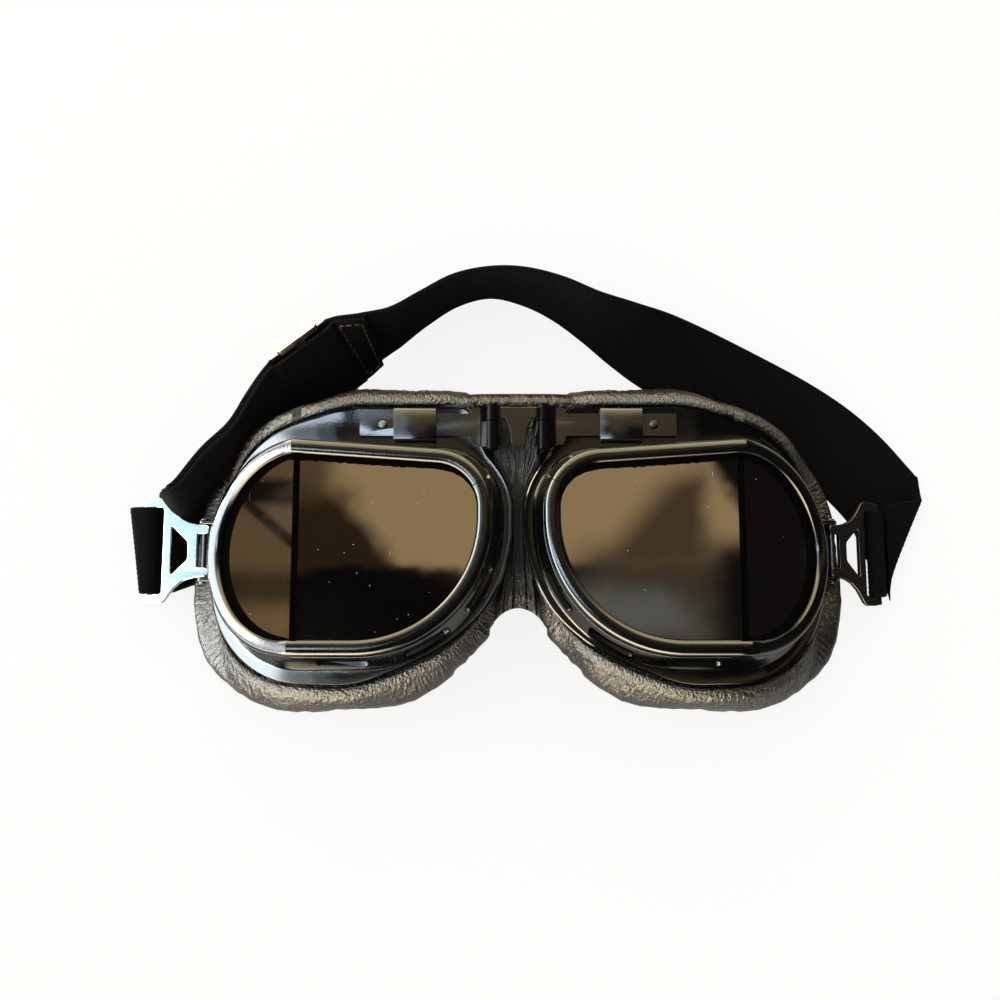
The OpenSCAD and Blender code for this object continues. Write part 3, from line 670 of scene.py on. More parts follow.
# %% panes
MITRE, JOINT, IN_CHANNEL = math.tan(BEND / 2), 0.15, 2
PANE_EDGE = ((1.8, -2), (2, -1.8), (2, -0.2), (1.8, 0))

def front_point(s, d, h):
    if s[0] == FRONT:
        return lens_at(s, d, h)
    return Vector((CREASE - JOINT + h * MITRE - (IN_CHANNEL - d), YC + s[2] + d * s[4], LENS_Z + h))

def side_point(s, d, h):
    if s[0] == SIDE:
        return lens_at(s, d, h)
    return on_side(JOINT - h * MITRE + (IN_CHANNEL - d), s[2] + d * s[4], h)

first_side = next(k for k, s in enumerate(outline) if s[0] == SIDE)
front_part, side_part = outline[:first_side], outline[first_side - 1:] + outline[:1]
for side, name in SIDES:
    for part, stations, at in (("front", front_part, front_point), ("side", side_part, side_point)):
        rings = [[at(s, d, h) for s in stations] for d, h in PANE_EDGE]
        pane = skin("%s_%s_glass" % (name, part), rings, side, whole=False, sharp=20)
        settle(pane, glass, "smoke_glass", name + "_frame", "%s_%s_pane" % (name, part))
print("panes:", len(front_part), "and", len(side_part), "corners")

# %% seam
def on_face(t, h):
    """A point of the seam's section: t below 0 lies on the front pane, above 0 on the side pane."""
    if t < 0:
        return (CREASE + t, LENS_Z + h)
    p = on_side(t, 0, h)
    return (p.x, p.z)

def seam_rings(section):
    """The section at four heights; the ends are a little lower, so that they look rounded."""
    return [[(x, YC + y, LENS_Z + (z - LENS_Z) * grow) for x, z in section]
            for y, grow in ((HALF - 0.1, 0.6), (HALF - 0.4, 1.0), (0.4 - HALF, 1.0), (0.1 - HALF, 0.6))]

cover = [on_face(-1.35, 0.03), on_face(-1.3, 0.2), on_face(-1.1, 0.3), (CREASE + 0.07, LENS_Z + 0.42),
         on_face(0.25, 0.32), on_face(0.42, 0.2), on_face(0.45, 0.03), (CREASE, LENS_Z - 0.02)]
backing = [on_face(-1.7, -2.03), (CREASE - 0.76, LENS_Z - 2.02), on_face(1.9, -2.03), on_face(1.8, -2.4),
           (CREASE - 0.9, LENS_Z - 2.5), on_face(-1.6, -2.4)]
for side, name in SIDES:
    strips = [skin("seam", seam_rings(section), side, whole=False) for section in (cover, backing)]
    seam = joined(name + "_seam_cover", strips)
    settle(seam, seam_black, "seam_black", name + "_frame", name + "_seam_strip")
print("seams ready")

# %% [markdown]
# ## Pads
# A pad is a stuffed leather ring: it rolls over the flange's edge, bulges out, and tucks in above the felt.
# Ten points give the section, and a smooth curve runs through them, so nothing is flat. Wrinkles then move
# the surface in and out. They run across the ring, where leather gathers on a bend, and are deepest at the
# nose and under the eye. A cloth solver could make them too, but its folds can't be placed by hand.

# %% pad sections
SPREAD_MID = [(0, 4), (20, 5), (40, 5), (60, 6), (90, 7), (130, 6.5), (140.4, 6), (143.9, 1.5), (147.6, -1.5),
              (152, -2.9), (186, -2.9), (195.6, 1), (200, 3.5), (206, 5.2), (217, 5.5), (228, 7.5), (240, 9),
              (252, 8.3), (265, 6), (280, 6), (300, 7), (330, 8), (345, 6), (360, 4)]
SPREAD_LOW = [(0, 0.5), (137, 0.5), (143.9, -4), (150, -9.5), (200, -9.5), (225, -4), (245, 0.5), (360, 0.5)]
SPREAD_FOOT = [(0, -5), (137, -5), (150, -12.5), (200, -12.5), (240, -5), (360, -5)]
SPREAD_CORE = [(0, -6), (137, -6), (150, -7.5), (200, -7.5), (240, -6), (360, -6)]
PAD_ROLL = [(0, 0), (25, 0), (40, 1), (137, 1), (143.9, 0.3), (150, 0), (205, 0), (225, 1), (322, 1), (337, 0),
            (360, 0)]
PAD_TUCK = [(0, 0), (143.9, 0), (150, 0.6), (195, 0.6), (205, 0), (360, 0)]
FELT_TOP = 3.4

def plan_ring(s, places):
    """A section from pairs of gap and height, outside the flange's edge at a station."""
    rim = lookup(turn(s), GAP_RIM)
    return [edge_at(s, rim + e) + Vector((0, 0, height)) for e, height in places]

def pad_ring(s):
    t = turn(s)
    roll, tuck, z = lookup(t, PAD_ROLL), lookup(t, PAD_TUCK), rim_z(edge_at(s, lookup(t, GAP_RIM)).x)
    mid, low, foot, core = (lookup(t, table) for table in (SPREAD_MID, SPREAD_LOW, SPREAD_FOOT, SPREAD_CORE))
    return plan_ring(s, [
        (-3.5, z - 1.5), (0.75 * roll - 0.5 - tuck, z - 1.5), (0.35 + 0.3 * roll - tuck, z - 1.5 + 2.2 * roll),
        (0.35 + 1.7 * roll - tuck, z - 1.8 + 2.95 * roll), (0.5 + 4.1 * roll - tuck, z - 2.2 + 1.1 * roll),
        (mid, 0.7 * z), (0.45 * mid + 0.55 * low, 0.34 * z + 1.6), (low, FELT_TOP), (foot, FELT_TOP),
        (core, z / 2 + 0.9)])

print("pad spread in the middle, 0 to 90 degrees:", [round(lookup(t, SPREAD_MID), 1) for t in (0, 30, 60, 90)])

# %% pads
SECTION_POINTS, SECTION_STEPS = 10, 5
COLUMNS = SECTION_POINTS * SECTION_STEPS

def wrinkle_depth(row, column):
    """Millimetres at a place of the pad: gathers at 205, 300 and 140 degrees, and only on the outer side."""
    t = turns[row]
    place = 0.4 + 0.8 * bell(t, 205, 30) + 0.35 * bell(t, 300, 35) + 0.3 * bell(t, 140, 12)
    return place * bell(column / SECTION_STEPS, 5.3, 1.6)

def wrinkle(mesh):
    """Moves each point along its normal; rows follow the outline and columns the section."""
    normals = [v.normal.copy() for v in mesh.vertices]
    for i, v in enumerate(mesh.vertices):
        row, column = divmod(i, COLUMNS)
        t = row / len(outline) * 2 * math.pi
        around = Vector((math.cos(t) * 13, math.sin(t) * 13, column / COLUMNS * 2.4))
        closer = Vector((around.x * 3.4 + around.z, around.y * 3.4 + around.z, 0.5 * around.z + 5))
        crease, small = 1 - 2.2 * abs(noise.noise(around)), 1 - 2.4 * abs(noise.noise(closer))
        height = 0.5 * crease + 0.4 * small + 0.5 * noise.noise(v.co * 45) - 0.3
        v.co += normals[i] * MM * wrinkle_depth(row, column) * height

for side, name in SIDES:
    rings = [loop_curve(r, SECTION_STEPS) for r in relax([pad_ring(s) for s in outline], 3)]
    pad = skin(name + "_pad_leather", rings, side, sharp=80)
    wrinkle(pad.data)
    flat_map(pad, "hide", COLUMNS, 1.0, 1.4)
    settle(pad, leather, "leather", name + "_frame", name + "_pad")
print("pads:", len(pad.data.vertices), "points each")

# %% [markdown]
# ## Linings
# The face side is felt, three millimetres thick with soft edges. It is the same skin again, with a rounded
# section and a little unevenness on the sides, but flat underneath, where it rests on the table.

# %% linings
FUZZ, FUZZ_SCALE = 0.00012, 400

def lining_ring(s):
    t = turn(s)
    outer, inner = lookup(t, SPREAD_LOW) - 0.5, lookup(t, SPREAD_FOOT) - 2.1
    return plan_ring(s, [
        (outer, 0.5), (outer + 0.15, 1.5), (outer, 2.6), (outer - 0.6, 3.1), (inner + 0.6, 3.1), (inner, 2.5),
        (inner - 0.1, 1.5), (inner, 0.5), (inner + 0.5, 0.02), (outer - 0.5, 0.02)])

for side, name in SIDES:
    lining = skin(name + "_lining_felt", relax([lining_ring(s) for s in outline], 3), side, sharp=70)
    for v in lining.data.vertices:
        if v.co.z > 0.3 * MM:
            v.co += v.normal * FUZZ * noise.noise(v.co * FUZZ_SCALE)
    settle(lining, felt, "felt", name + "_frame", name + "_lining")
print("linings ready")

# %% [markdown]
# ## Nose gusset
# Soft leather closes the gap between the frames. Along the brow it carries on the pads' roll as one band,
# lower down it is pinched at the middle, so that folds run down it and fan out over the nose, where it ends
# in an arch. Its sides turn down and go in beside the pads, where it would be sewn. Its two halves meet on
# the centre line.

# %% gusset outline and folds
REACH = [(-34, 8.6), (-31, 8.2), (-29, 7.6), (-25, 6.0), (-20, 4.4), (-16, 3.4), (-8, 2.6), (-2, 2.9),
         (2.5, 4.2), (6.5, 6.6), (10.5, 9.2), (16, 10.6), (20, 11.8), (22.4, 12.4), (23.4, 21.0), (24.5, 22.5),
         (31, 22.5)]
CREST = [(-32, 22.2), (-28, 23.6), (-22, 24.8), (-8, 25.8), (4, 26.3), (14, 26.4), (20, 26.4), (22.5, 26.7),
         (23.2, 27.8), (24.0, 28.6), (25.0, 28.8), (26.4, 28.3), (27.5, 27.3), (28.2, 26.0), (28.5, 24.2)]
GUSSET_LOW, GUSSET_HIGH = -31.4, 28.5
GUSSET_ROWS, GUSSET_STEPS = 180, 36

def fold_height(x, y, side, brow, low):
    """Three folds that fan out over the nose, then the soft swell under the brow and an unevenness."""
    splay = max(0, -14 - y)
    height = 0.85 * bell(x, 1.1 + splay * 0.05, 0.45) * low
    height += 0.8 * bell(x, 2.9 + splay * 0.10, 0.5) * clamp((-8 - y) / 8)
    height += 0.55 * bell(x, 5.2 + splay * 0.07, 0.5) * clamp((-22 - y) / 5)
    height += 0.18 * math.sin(x * 1.9 + y * 0.30 * side + 1.3 * side) * clamp((y - 2) / 8) * (1 - brow)
    return height + 0.30 * noise.noise(Vector((x * 1.1 * side, y * 0.22, 2.0))) * (1 - 0.75 * brow)

print("gusset is %.1f mm tall" % (GUSSET_HIGH - GUSSET_LOW))

# %% nose gusset
def gusset_ring(y, side):
    reach, crest = lookup(y, REACH), lookup(y, CREST)
    low, brow = clamp((16 - y) / 22), clamp((y - 21.5) / 1.5)
    over, under = [], []
    for t in [j / GUSSET_STEPS for j in range(GUSSET_STEPS + 1)]:
        x = reach * t
        dive = (1.8 + 3.0 * (1 - brow)) * t ** 6
        down = 0.078 * x * x * clamp((-24 - y) / 6) + 1.2 * t ** 4 * clamp((y - 25) / 3)
        z = crest - 1.0 * (1 - brow) * low + fold_height(x, y, side, brow, low) * 0.8 - dive
        back = (0.6 if y < -29 else 0) - (0.5 if y > 27 else 0)
        over.append((x, y - down, z))
        under.append((x * 0.97, y - down + back, z - 2.2 - 1.2 * (1 - t ** 4)))
    return over + under[::-1]

for side, name in SIDES:
    heights = [GUSSET_LOW + (GUSSET_HIGH - GUSSET_LOW) * i / GUSSET_ROWS for i in range(GUSSET_ROWS + 1)]
    gusset = skin("gusset_half_" + name, [gusset_ring(y, side) for y in heights], side, whole=False, sharp=75)
    flat_map(gusset, "hide", 2 * (GUSSET_STEPS + 1), 0.06, 1.2)
    # The duller copy of the leather is painted shade between the frames.
    dress(gusset, leather_in_painted_shade, "leather")
    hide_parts("nose_gusset")
    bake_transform(gusset)
print("gusset ready")

# %% [markdown]
# ## Strap
# The webbing is one flat ribbon with a fixed width. A smooth path carries it, and at each point the path
# also says how the ribbon is tilted. Its section has fine lengthwise ribs, because elastic webbing is knitted
# in cords. The ribbon is built in stretches, and some of them hang on the part of the goggles that holds them.

# %% strap path
ROUTE = [(-105.6, -14.4, 8.5, 98, 0), (-101, -13.2, 7.8, 104, 3), (-96.8, -10.6, 6.9, 116, 4),
         (-94.0, -4.6, 10.6, 124, 58), (-91.5, 1.1, 12.6, 138, 72), (-84.9, 10.1, 12.8, 142, 73),
         (-77.4, 17.4, 12.8, 137, 72), (-71.8, 24.4, 13.4, 130, 64), (-66, 31, 14.6, 128, 57),
         (-63.6, 32.9, 14.6, 128, 57), (-51, 42.7, 14.6, 128, 57), (-48.6, 44.6, 14.6, 128, 57),
         (-42, 47.6, 13.9, 117, 72), (-34.5, 52.2, 13.2, 118, 82), (-27, 57.5, 12.8, 122, 86),
         (-18, 62.8, 12.8, 113, 88), (-8, 65.2, 12.8, 94, 89), (2, 64, 12.8, 80, 84), (12, 60.3, 12.7, 66, 78),
         (22, 54.6, 12.3, 62, 70), (32, 49.5, 10.7, 62, 54), (42, 45, 8.4, 63, 36), (54, 39.5, 6.2, 63, 24),
         (67, 33, 4.9, 61, 18), (79, 26.5, 4.1, 60, 14), (89.5, 20, 2.9, 56, 8), (98, 13, 2, 49, 4),
         (105, 5.5, 1.3, 45, 0), (108.6, 0, 1.15, 48, 0), (110.6, -5.2, 1.15, 55, 0), (111.9, -8.2, 1.9, 61, 0),
         (112.2, -10.2, 3.2, 65, 0), (110.9, -11.4, 4.6, 71, 0), (109.2, -12.6, 5.15, 80, 0),
         (107.1, -13.9, 5.2, 90, 0)]

def tilt(around, up):
    """The direction across the ribbon, from its angle in plan and its angle above the table."""
    (c, n), (level, rise) = polar(around), polar(up)
    return Vector((c * level, n * level, rise))

def along_route(points, u):
    i = max(0, min(int(math.floor(u)), len(points) - 2))
    return glide(points[max(i - 1, 0)], points[i], points[i + 1], points[min(i + 2, len(points) - 1)], u - i)

CENTRE = [Vector(r[:3]) for r in ROUTE]
TILT = [tilt(*r[3:]) for r in ROUTE]

def path_length(u0, u1):
    spots = [along_route(CENTRE, u0 + (u1 - u0) * i / 200) for i in range(201)]
    return sum((b - a).length for a, b in zip(spots, spots[1:]))

print("webbing path is %.0f mm long" % sum(path_length(u, u + 1) for u in range(len(ROUTE) - 1)))

# %% [markdown]
# Where the path turns while the ribbon is tilted, its width has to grow a little to stay straight across,
# and the limit of 1.12 keeps that within what elastic gives.

# %% ribbon
THICK, WIDE = 1.5, 25.0
RIBS, FLAT, RIB_DEPTH, MOST_STRETCH = 17, 85, 0.075, 1.12

def ribbon_frame(u):
    along = (along_route(CENTRE, u + 0.02) - along_route(CENTRE, u - 0.02)).normalized()
    across = along_route(TILT, u).normalized()
    face = along.cross(across)
    return along_route(CENTRE, u), across * min(MOST_STRETCH, 1 / face.length), face.normalized()

def ribbon_section():
    """Points (across, face) of the ribbed section, from -0.5 to 0.5 of the width and thickness."""
    upper = []
    for part in [i / FLAT for i in range(FLAT + 1)]:
        x = part - 0.5
        rib = 0.5 - RIB_DEPTH * (0.5 - 0.5 * math.cos(2 * math.pi * RIBS * part))
        upper.append((x * 0.985, rib * min(1.0, 4.5 * (1 - 2 * abs(x)) ** 0.5 + 0.35)))
    return upper + [(x, -y) for x, y in reversed(upper)]

SECTION = ribbon_section()
ACROSS = [x * WIDE for x, y in SECTION]

def webbing_skin(name, rings, whole, step):
    """A skin of ribbed rings with its weave map."""
    strip = skin(name, rings, -1 if name.endswith("loop_left") else 1, whole, sharp=50)
    flat_map(strip, "weave", len(SECTION), step, ACROSS)
    return dress(strip, webbing, "webbing")

def ribbon(name, u0, u1, offset=lambda u: 0.0, step=0.1):
    count, rings = max(2, round((u1 - u0) / step)), []
    for u in [u0 + (u1 - u0) * i / count for i in range(count + 1)]:
        p, across, face = ribbon_frame(u)
        rings.append([p + across * (x * WIDE) + face * (offset(u) + y * THICK) for x, y in SECTION])
    return webbing_skin(name, rings, False, 0.9)

print("points round the webbing:", len(SECTION))

# %% [markdown]
# ### Laying the strap
# Left of the buckle the webbing is doubled: it goes round the clip and comes back, and the two layers open
# a little where the buckle's middle bar passes between them.

# %% strap pieces
FOLD_END, RETURN_END, ARCH_FROM, ARCH_TO, RUN_END, PATH_END = 3.4, 12.0, 12.84, 23.0, 28.06, 34.0
ARCH_NAMES, ARCH_STOPS = ("one", "two", "three", "four"), (ARCH_FROM, 14.6, 17.0, 19.6, ARCH_TO)
ARCH_BODIES = ("left_frame", "left_slide_bar", "bridge_link", "right_slide_bar", "right_frame")
ARCH_PARTS = list(zip(ARCH_NAMES, ARCH_STOPS, ARCH_STOPS[1:], ARCH_BODIES, ARCH_BODIES[1:]))
OPENING = [(0, 0.8), (8, 0.85), (8.7, 1.45), (9, 1.5), (10, 1.5), (10.3, 1.45), (11, 0.85), (12.1, 0.85),
           (12.8, 0)]
FOLD_GAP = 0.8

def spread(u):
    """Half the distance between the two layers."""
    return lookup(u, OPENING)

back = ribbon("webbing_run_left", FOLD_END, ARCH_FROM, lambda u: -spread(u))
front = ribbon("webbing_return_left", FOLD_END, RETURN_END, spread)
layers = [ribbon("layer", 0.0, FOLD_END, lambda u, gap=gap: gap) for gap in (-FOLD_GAP, FOLD_GAP)]
fold = dress(joined("webbing_fold_left", layers), webbing, "webbing")
run_right = ribbon("webbing_run_right", ARCH_TO, RUN_END)
fold_right = ribbon("webbing_fold_right", RUN_END, PATH_END, step=0.06)
print("lengths laid:", [o.name for o in (back, front, fold, run_right, fold_right)])

# %% strap pieces on their bodies
def bend(piece, node, a, b, u0, u1):
    """Hides the CAD node of a stretch of strap and bakes its placement into its mesh; the bodies a and b are
    not used.
    """
    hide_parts(node)
    spot(*along_route(CENTRE, u0))
    spot(*along_route(CENTRE, u1))
    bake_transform(piece)

for piece, body, node in ((back, "left_frame", "strap_left_run"), (front, "left_frame", "strap_left_return"),
                          (run_right, "right_frame", "strap_right_run")):
    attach(piece, body)
    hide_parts(node)
bend(fold, "strap_left_fold", "left_frame", "left_hook", FOLD_END, 0.6)
bend(fold_right, "strap_right_fold", "right_frame", "right_hook", 28.1, 33.6)
arch = []
for name, u0, u1, a, b in ARCH_PARTS:
    piece = ribbon("webbing_arch_" + name, u0, u1)
    bend(piece, "strap_arch", a, b, u0, u1)
    arch.append(piece)
print("arch pieces:", len(arch))

# %% [markdown]
# ### Loops round the clips
# Each end of the strap turns round the clip's outer bar. The loop is drawn in the clip's own space, with the
# pin at its origin, and then placed at the pin. The right clip hangs down, so its space is turned by 28
# degrees. The left loop is pulled aslant, so its upper edge stands further out.

# %% strap loops
BAR_U, BAR_W, BAR_HALF_U, BAR_HALF_W = 15.8, 1.0, 0.75, 0.7
LOOP_HALF_U, LOOP_HALF_W = BAR_HALF_U + 0.1 + THICK / 2, BAR_HALF_W + 0.3 + THICK / 2
HANG = {-1: 0, 1: 28}

def hook_space(side):
    return Matrix.Translation((PIN_X, PIN_Y, PIN_Z)) @ Matrix.Rotation(math.radians(HANG[side]), 4, "Y")

def loop_rings(side):
    at_pin, rings = hook_space(side), []
    for c, n in (polar(360 * k / 48) for k in range(48)):
        m = (abs(c) ** 3 + abs(n) ** 3) ** (-1 / 3)
        middle = Vector((BAR_U + LOOP_HALF_U * m * c, 0, BAR_W + LOOP_HALF_W * m * n))
        out = Vector((c, 0, n)).normalized()
        slant = max(0.0, c) if side < 0 else 0.0
        rings.append([at_pin @ (middle + out * (y * THICK)
                                + Vector((slant * (3.1 * (x + 0.5) - 0.8 * (0.5 - x)), x * WIDE, 0)))
                      for x, y in SECTION])
    return rings

for side, name in SIDES:
    loop = webbing_skin("webbing_loop_" + name, loop_rings(side), True, 0.35)
    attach(loop, name + "_hook")
    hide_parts("strap_%s_loop" % name)
print("loops ready")

# %% [markdown]
# ### Hook clips
# The clips are stamped from sheet, so they are drawn as flat curves: one outline with rounded corners, and
# holes for the webbing and the window. A curve object fills, thickens and bevels such a drawing in one step.
# Two small barrels at the inner end turn on the strap pin. The left clip is bright steel; the right one, the
# same part, is black paint that stands for the shade it lies in.

# %% clip drawing
CLIP_EDGE = [(16.4, 0), (16.4, 13.4), (16.5, 14.3), (14.4, 14.7), (11.6, 14.8), (10.4, 14.2), (9.4, 12.6),
             (8.0, 10.6), (6.0, 8.8), (4.0, 7.9), (1.6, 7.3), (-0.6, 7.2), (-1.5, 6.6), (-1.5, 5.5),
             (-0.6, 5.1), (1.5, 5.1), (1.8, 4.6), (1.8, 0)]
CLIP_WINDOW = [(9.2, 6.6), (8.7, 7.1), (8.2, 6.9), (4.3, 3.0), (4.0, 2.3), (4.0, 0)]
CLIP_SLOT = [(15.2, 12.2), (14.9, 12.6), (11.6, 12.6), (11.0, 12.0), (11.0, 0)]
CLIP_CORE, CLIP_ROLL, CLIP_HEIGHT = 0.45, 0.25, 1.0

def clip_plate():
    data = bpy.data.curves.new("clip", "CURVE")
    data.dimensions = "2D"
    data.fill_mode = "BOTH"
    data.extrude = CLIP_CORE * MM
    data.bevel_depth = CLIP_ROLL * MM
    data.bevel_resolution = 2
    for half in (CLIP_EDGE, CLIP_WINDOW, CLIP_SLOT):
        points = half + [(u, -v) for u, v in reversed(half) if v > 0]
        line = data.splines.new("POLY")
        line.points.add(len(points) - 1)
        line.use_cyclic_u = True
        for point, (u, v) in zip(line.points, points):
            point.co = (u * MM, v * MM, 0, 1)
    drawing = put(bpy.data.objects.new("clip", data))
    mesh = as_mesh(drawing)
    bpy.data.objects.remove(drawing)
    return mesh

print("clip is %.1f mm wide" % (2 * max(v for u, v in CLIP_EDGE)))

# %% hook clips
BARREL_R, BARREL_END, BARREL_BORE, BARREL_WIDE, BARREL_AT = 1.55, 1.35, 0.82, 2.15, (5.2, -7.35)

def barrel(side, v0):
    at_pin, v1 = hook_space(side), v0 + BARREL_WIDE
    profile = ((v0, BARREL_END), (v0 + 0.2, BARREL_R), (v1 - 0.2, BARREL_R), (v1, BARREL_END),
               (v1, BARREL_BORE), (v0, BARREL_BORE))
    return [[at_pin @ Vector((r * c, v, r * n)) for c, n in map(polar, range(0, 360, 15))] for v, r in profile]

for side, name in SIDES:
    mesh = clip_plate()
    to_side = Matrix.Diagonal((side, 1, 1, 1)) @ hook_space(side)
    for vert in mesh.vertices:
        vert.co = spot(*(to_side @ Vector((vert.co.x / MM, vert.co.y / MM, vert.co.z / MM + CLIP_HEIGHT))))
    if side < 0:
        mesh.flip_normals()
    plate = put(bpy.data.objects.new("plate", mesh))
    clip = joined(name + "_hook_clip", [plate] + [skin("barrel", barrel(side, v), side) for v in BARREL_AT])
    # The same clip twice: lit steel on the left, and black paint as painted shade on the right.
    mat, slot = (lit_clip_metal, "clip_steel") if side < 0 else (clip_in_painted_shade, "clip_black")
    settle(clip, mat, slot, name + "_hook", name + "_clip")
print("clips ready")

# %% [markdown]
# ### Stitches
# A straight box of stitches holds the doubled end down. Each stitch is a short bead of thread lying on the
# ribbon. They are small, but without them the layer would look glued.

# %% stitches
THREAD_R, STITCH, STITCH_FROM, STITCH_TO = 0.22, 2.4, 0.12, 0.82
STITCH_BOX = [(11.15, -10.5), (11.15, 10.5), (11.85, 10.5), (11.85, -10.5)]

def bead(p, q):
    axis = (q - p).normalized()
    right = axis.orthogonal().normalized()
    up = axis.cross(right)
    circle, rings = [polar(60 * i) for i in range(6)], []
    for t, k in ((0, 0.3), (0.15, 0.85), (0.5, 1.0), (0.85, 0.85), (1, 0.3)):
        rings.append([p.lerp(q, t) + (right * c + up * n) * THREAD_R * k for c, n in circle])
    return skin("bead", rings, whole=False)

def on_ribbon(u, x):
    p, across, face = ribbon_frame(u)
    return p + across * x + face * (spread(u) + THICK / 2 + 0.02)

beads = []
for (u0, x0), (u1, x1) in zip(STITCH_BOX, STITCH_BOX[1:] + STITCH_BOX[:1]):
    steps = max(2, round((on_ribbon(u0, x0) - on_ribbon(u1, x1)).length / STITCH))
    for i in range(steps):
        ends = [on_ribbon(u0 + (u1 - u0) * k, x0 + (x1 - x0) * k)
                for k in ((i + STITCH_FROM) / steps, (i + STITCH_TO) / steps)]
        beads.append(bead(*ends))
stitches = dress(joined("strap_stitches", beads), thread, "webbing")
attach(stitches, "left_frame")
print("stitches:", len(beads))

# %% [markdown]
# ### Cut sizes
# Each length of webbing is printed with the size it was cut to: 25 mm wide, and as long as its path.

# %% cut sizes
def cut_to(piece, length):
    print("%-20s 25 x %.0f mm" % (piece.name, length))

cut_to(back, path_length(FOLD_END, ARCH_FROM))
cut_to(front, path_length(FOLD_END, RETURN_END))
cut_to(fold, 2 * path_length(0.0, FOLD_END))
cut_to(run_right, path_length(ARCH_TO, RUN_END))
cut_to(fold_right, path_length(RUN_END, PATH_END))
for piece, (_, u0, u1, _, _) in zip(arch, ARCH_PARTS):
    cut_to(piece, path_length(u0, u1))
for side, name in SIDES:
    middles = [sum(ring, Vector()) / len(ring) for ring in loop_rings(side)]
    around = sum((b - a).length for a, b in zip(middles, middles[1:] + middles[:1]))
    cut_to(bpy.data.objects["webbing_loop_" + name], around)

# %% [markdown]
# ## Metal and gauze from the frame
# Bars, sleeves, pins and the buckle are already exact. They keep the CAD mesh, with four modifiers. A weld
# comes first, because the file stores each face apart, and the second joins the triangles of a flat face.
# Then comes a small bevel, because real edges are never sharp and a bevel is what catches the light. The
# last one splits the corners, so that flat faces stay flat.

# %% CAD pieces
WELD_WITHIN = 0.000002
FLAT_WITHIN, BEVEL_FROM, SPLIT_FROM = math.radians(2), math.radians(35), math.radians(20)

def finish_node(name, mat, bevel):
    obj = dress(nodes[name], mat)
    obj.modifiers.new("weld", "WELD").merge_threshold = WELD_WITHIN
    facets = obj.modifiers.new("facets", "DECIMATE")
    facets.decimate_type = "DISSOLVE"
    facets.angle_limit = FLAT_WITHIN
    if bevel:
        edge = obj.modifiers.new("edge", "BEVEL")
        edge.width = bevel * MM
        edge.segments = 2
        edge.limit_method = "ANGLE"
        edge.angle_limit = BEVEL_FROM
    obj.modifiers.new("flat faces", "EDGE_SPLIT").split_angle = SPLIT_FROM
    obj.data.shade_smooth()

for part, mat, bevel in (("bar", gloss_black, 0.22), ("stop_rivet", rivet_metal, 0.12),
                         ("sleeve", gloss_black, 0.2), ("hinge_pin", pin_black, 0.15),
                         ("strap_pin", pin_metal, 0.15), ("vent_gauze", gauze, 0)):
    for _, name in SIDES:
        finish_node(name + "_" + part, mat, bevel)
finish_node("link_plate", gloss_black, 0.2)
finish_node("tri_glide", buckle_metal, 0.3)
print("CAD pieces dressed")

# %% [markdown]
# ## Table
# The photograph is bright: the table burns out to white with a faint cream cast. The table is a small pale
# sheet that takes the shadows. For the camera alone, part of its colour is light of strength 1, so that the
# shadows stay faint and creamy as in the photograph. Mirrors and glass see the plain sheet.

# %% table
TABLE_R, TABLE_Z, CAMERA_SHARE = 0.38, -0.0002, 0.84
g = finish("white table", (0.94, 0.925, 0.90), 0.75)
g.drive("Base Color", g.blend(g.noise(6, 3), (0.95, 0.94, 0.91), (0.94, 0.92, 0.87)))
g.set(Specular_IOR_Level=0.1)
white = g.node("ShaderNodeEmission", Color=(1.0, 1.0, 0.985, 1), Strength=1.0)
seen_by = g.node("ShaderNodeLightPath")
share = g.math("MULTIPLY", seen_by.outputs["Is Camera Ray"], CAMERA_SHARE)
g.surface(g.mix(share, g.skin.outputs[0], white.outputs[0]))
floor_mesh = bpy.data.meshes.new("floor")
rim = [(TABLE_R * c, TABLE_R * n, TABLE_Z) for c, n in map(polar, range(0, 360, 5))]
floor_mesh.from_pydata(rim, [], [tuple(range(len(rim)))])
floor = put(bpy.data.objects.new("floor", floor_mesh))
dress(floor, g.mat)
print("table ready")

# %% [markdown]
# ### The room that the paint and glass reflect
# Black gloss has no colour of its own: it shows the room. So the room is painted for reflected rays alone. A
# cool window fills the west, a warm one the north, and the ceiling over the lenses is tan with dark shapes
# in it. For a ray that leaves the glass upwards, x over z and y over z say which spot of the ceiling it
# meets. The bent side panes look level instead, at a brown wall on the left and a dark one on the right.

# %% room tools
world = bpy.data.worlds.new("room")
bpy.context.scene.world = world
world.use_nodes = True
world.node_tree.nodes.clear()
w = net(world.node_tree)

def plane(*terms):
    """A sum such as 2 x + 3 y, from pairs of number and socket."""
    total = None
    for factor, socket in terms:
        part = w.math("MULTIPLY", socket, factor)
        total = part if total is None else w.math("ADD", total, part)
    return total

def rise(socket, low, high):
    """0 below low, 1 above high, smooth between; low above high turns it round."""
    low, high, start, end = (high, low, 1.0, 0.0) if low > high else (low, high, 0.0, 1.0)
    n = w.node("ShaderNodeMapRange", From_Min=low, From_Max=high, To_Min=start, To_Max=end)
    n.interpolation_type = "SMOOTHSTEP"
    w.link(socket, n.inputs["Value"])
    return n.outputs["Result"]

def lay(under, color, first, *others):
    """Lays a colour over what is there, where all the soft steps are 1."""
    weight = first
    for other in others:
        weight = w.math("MULTIPLY", weight, other)
    return w.blend(weight, under, color)

print("room tools ready")

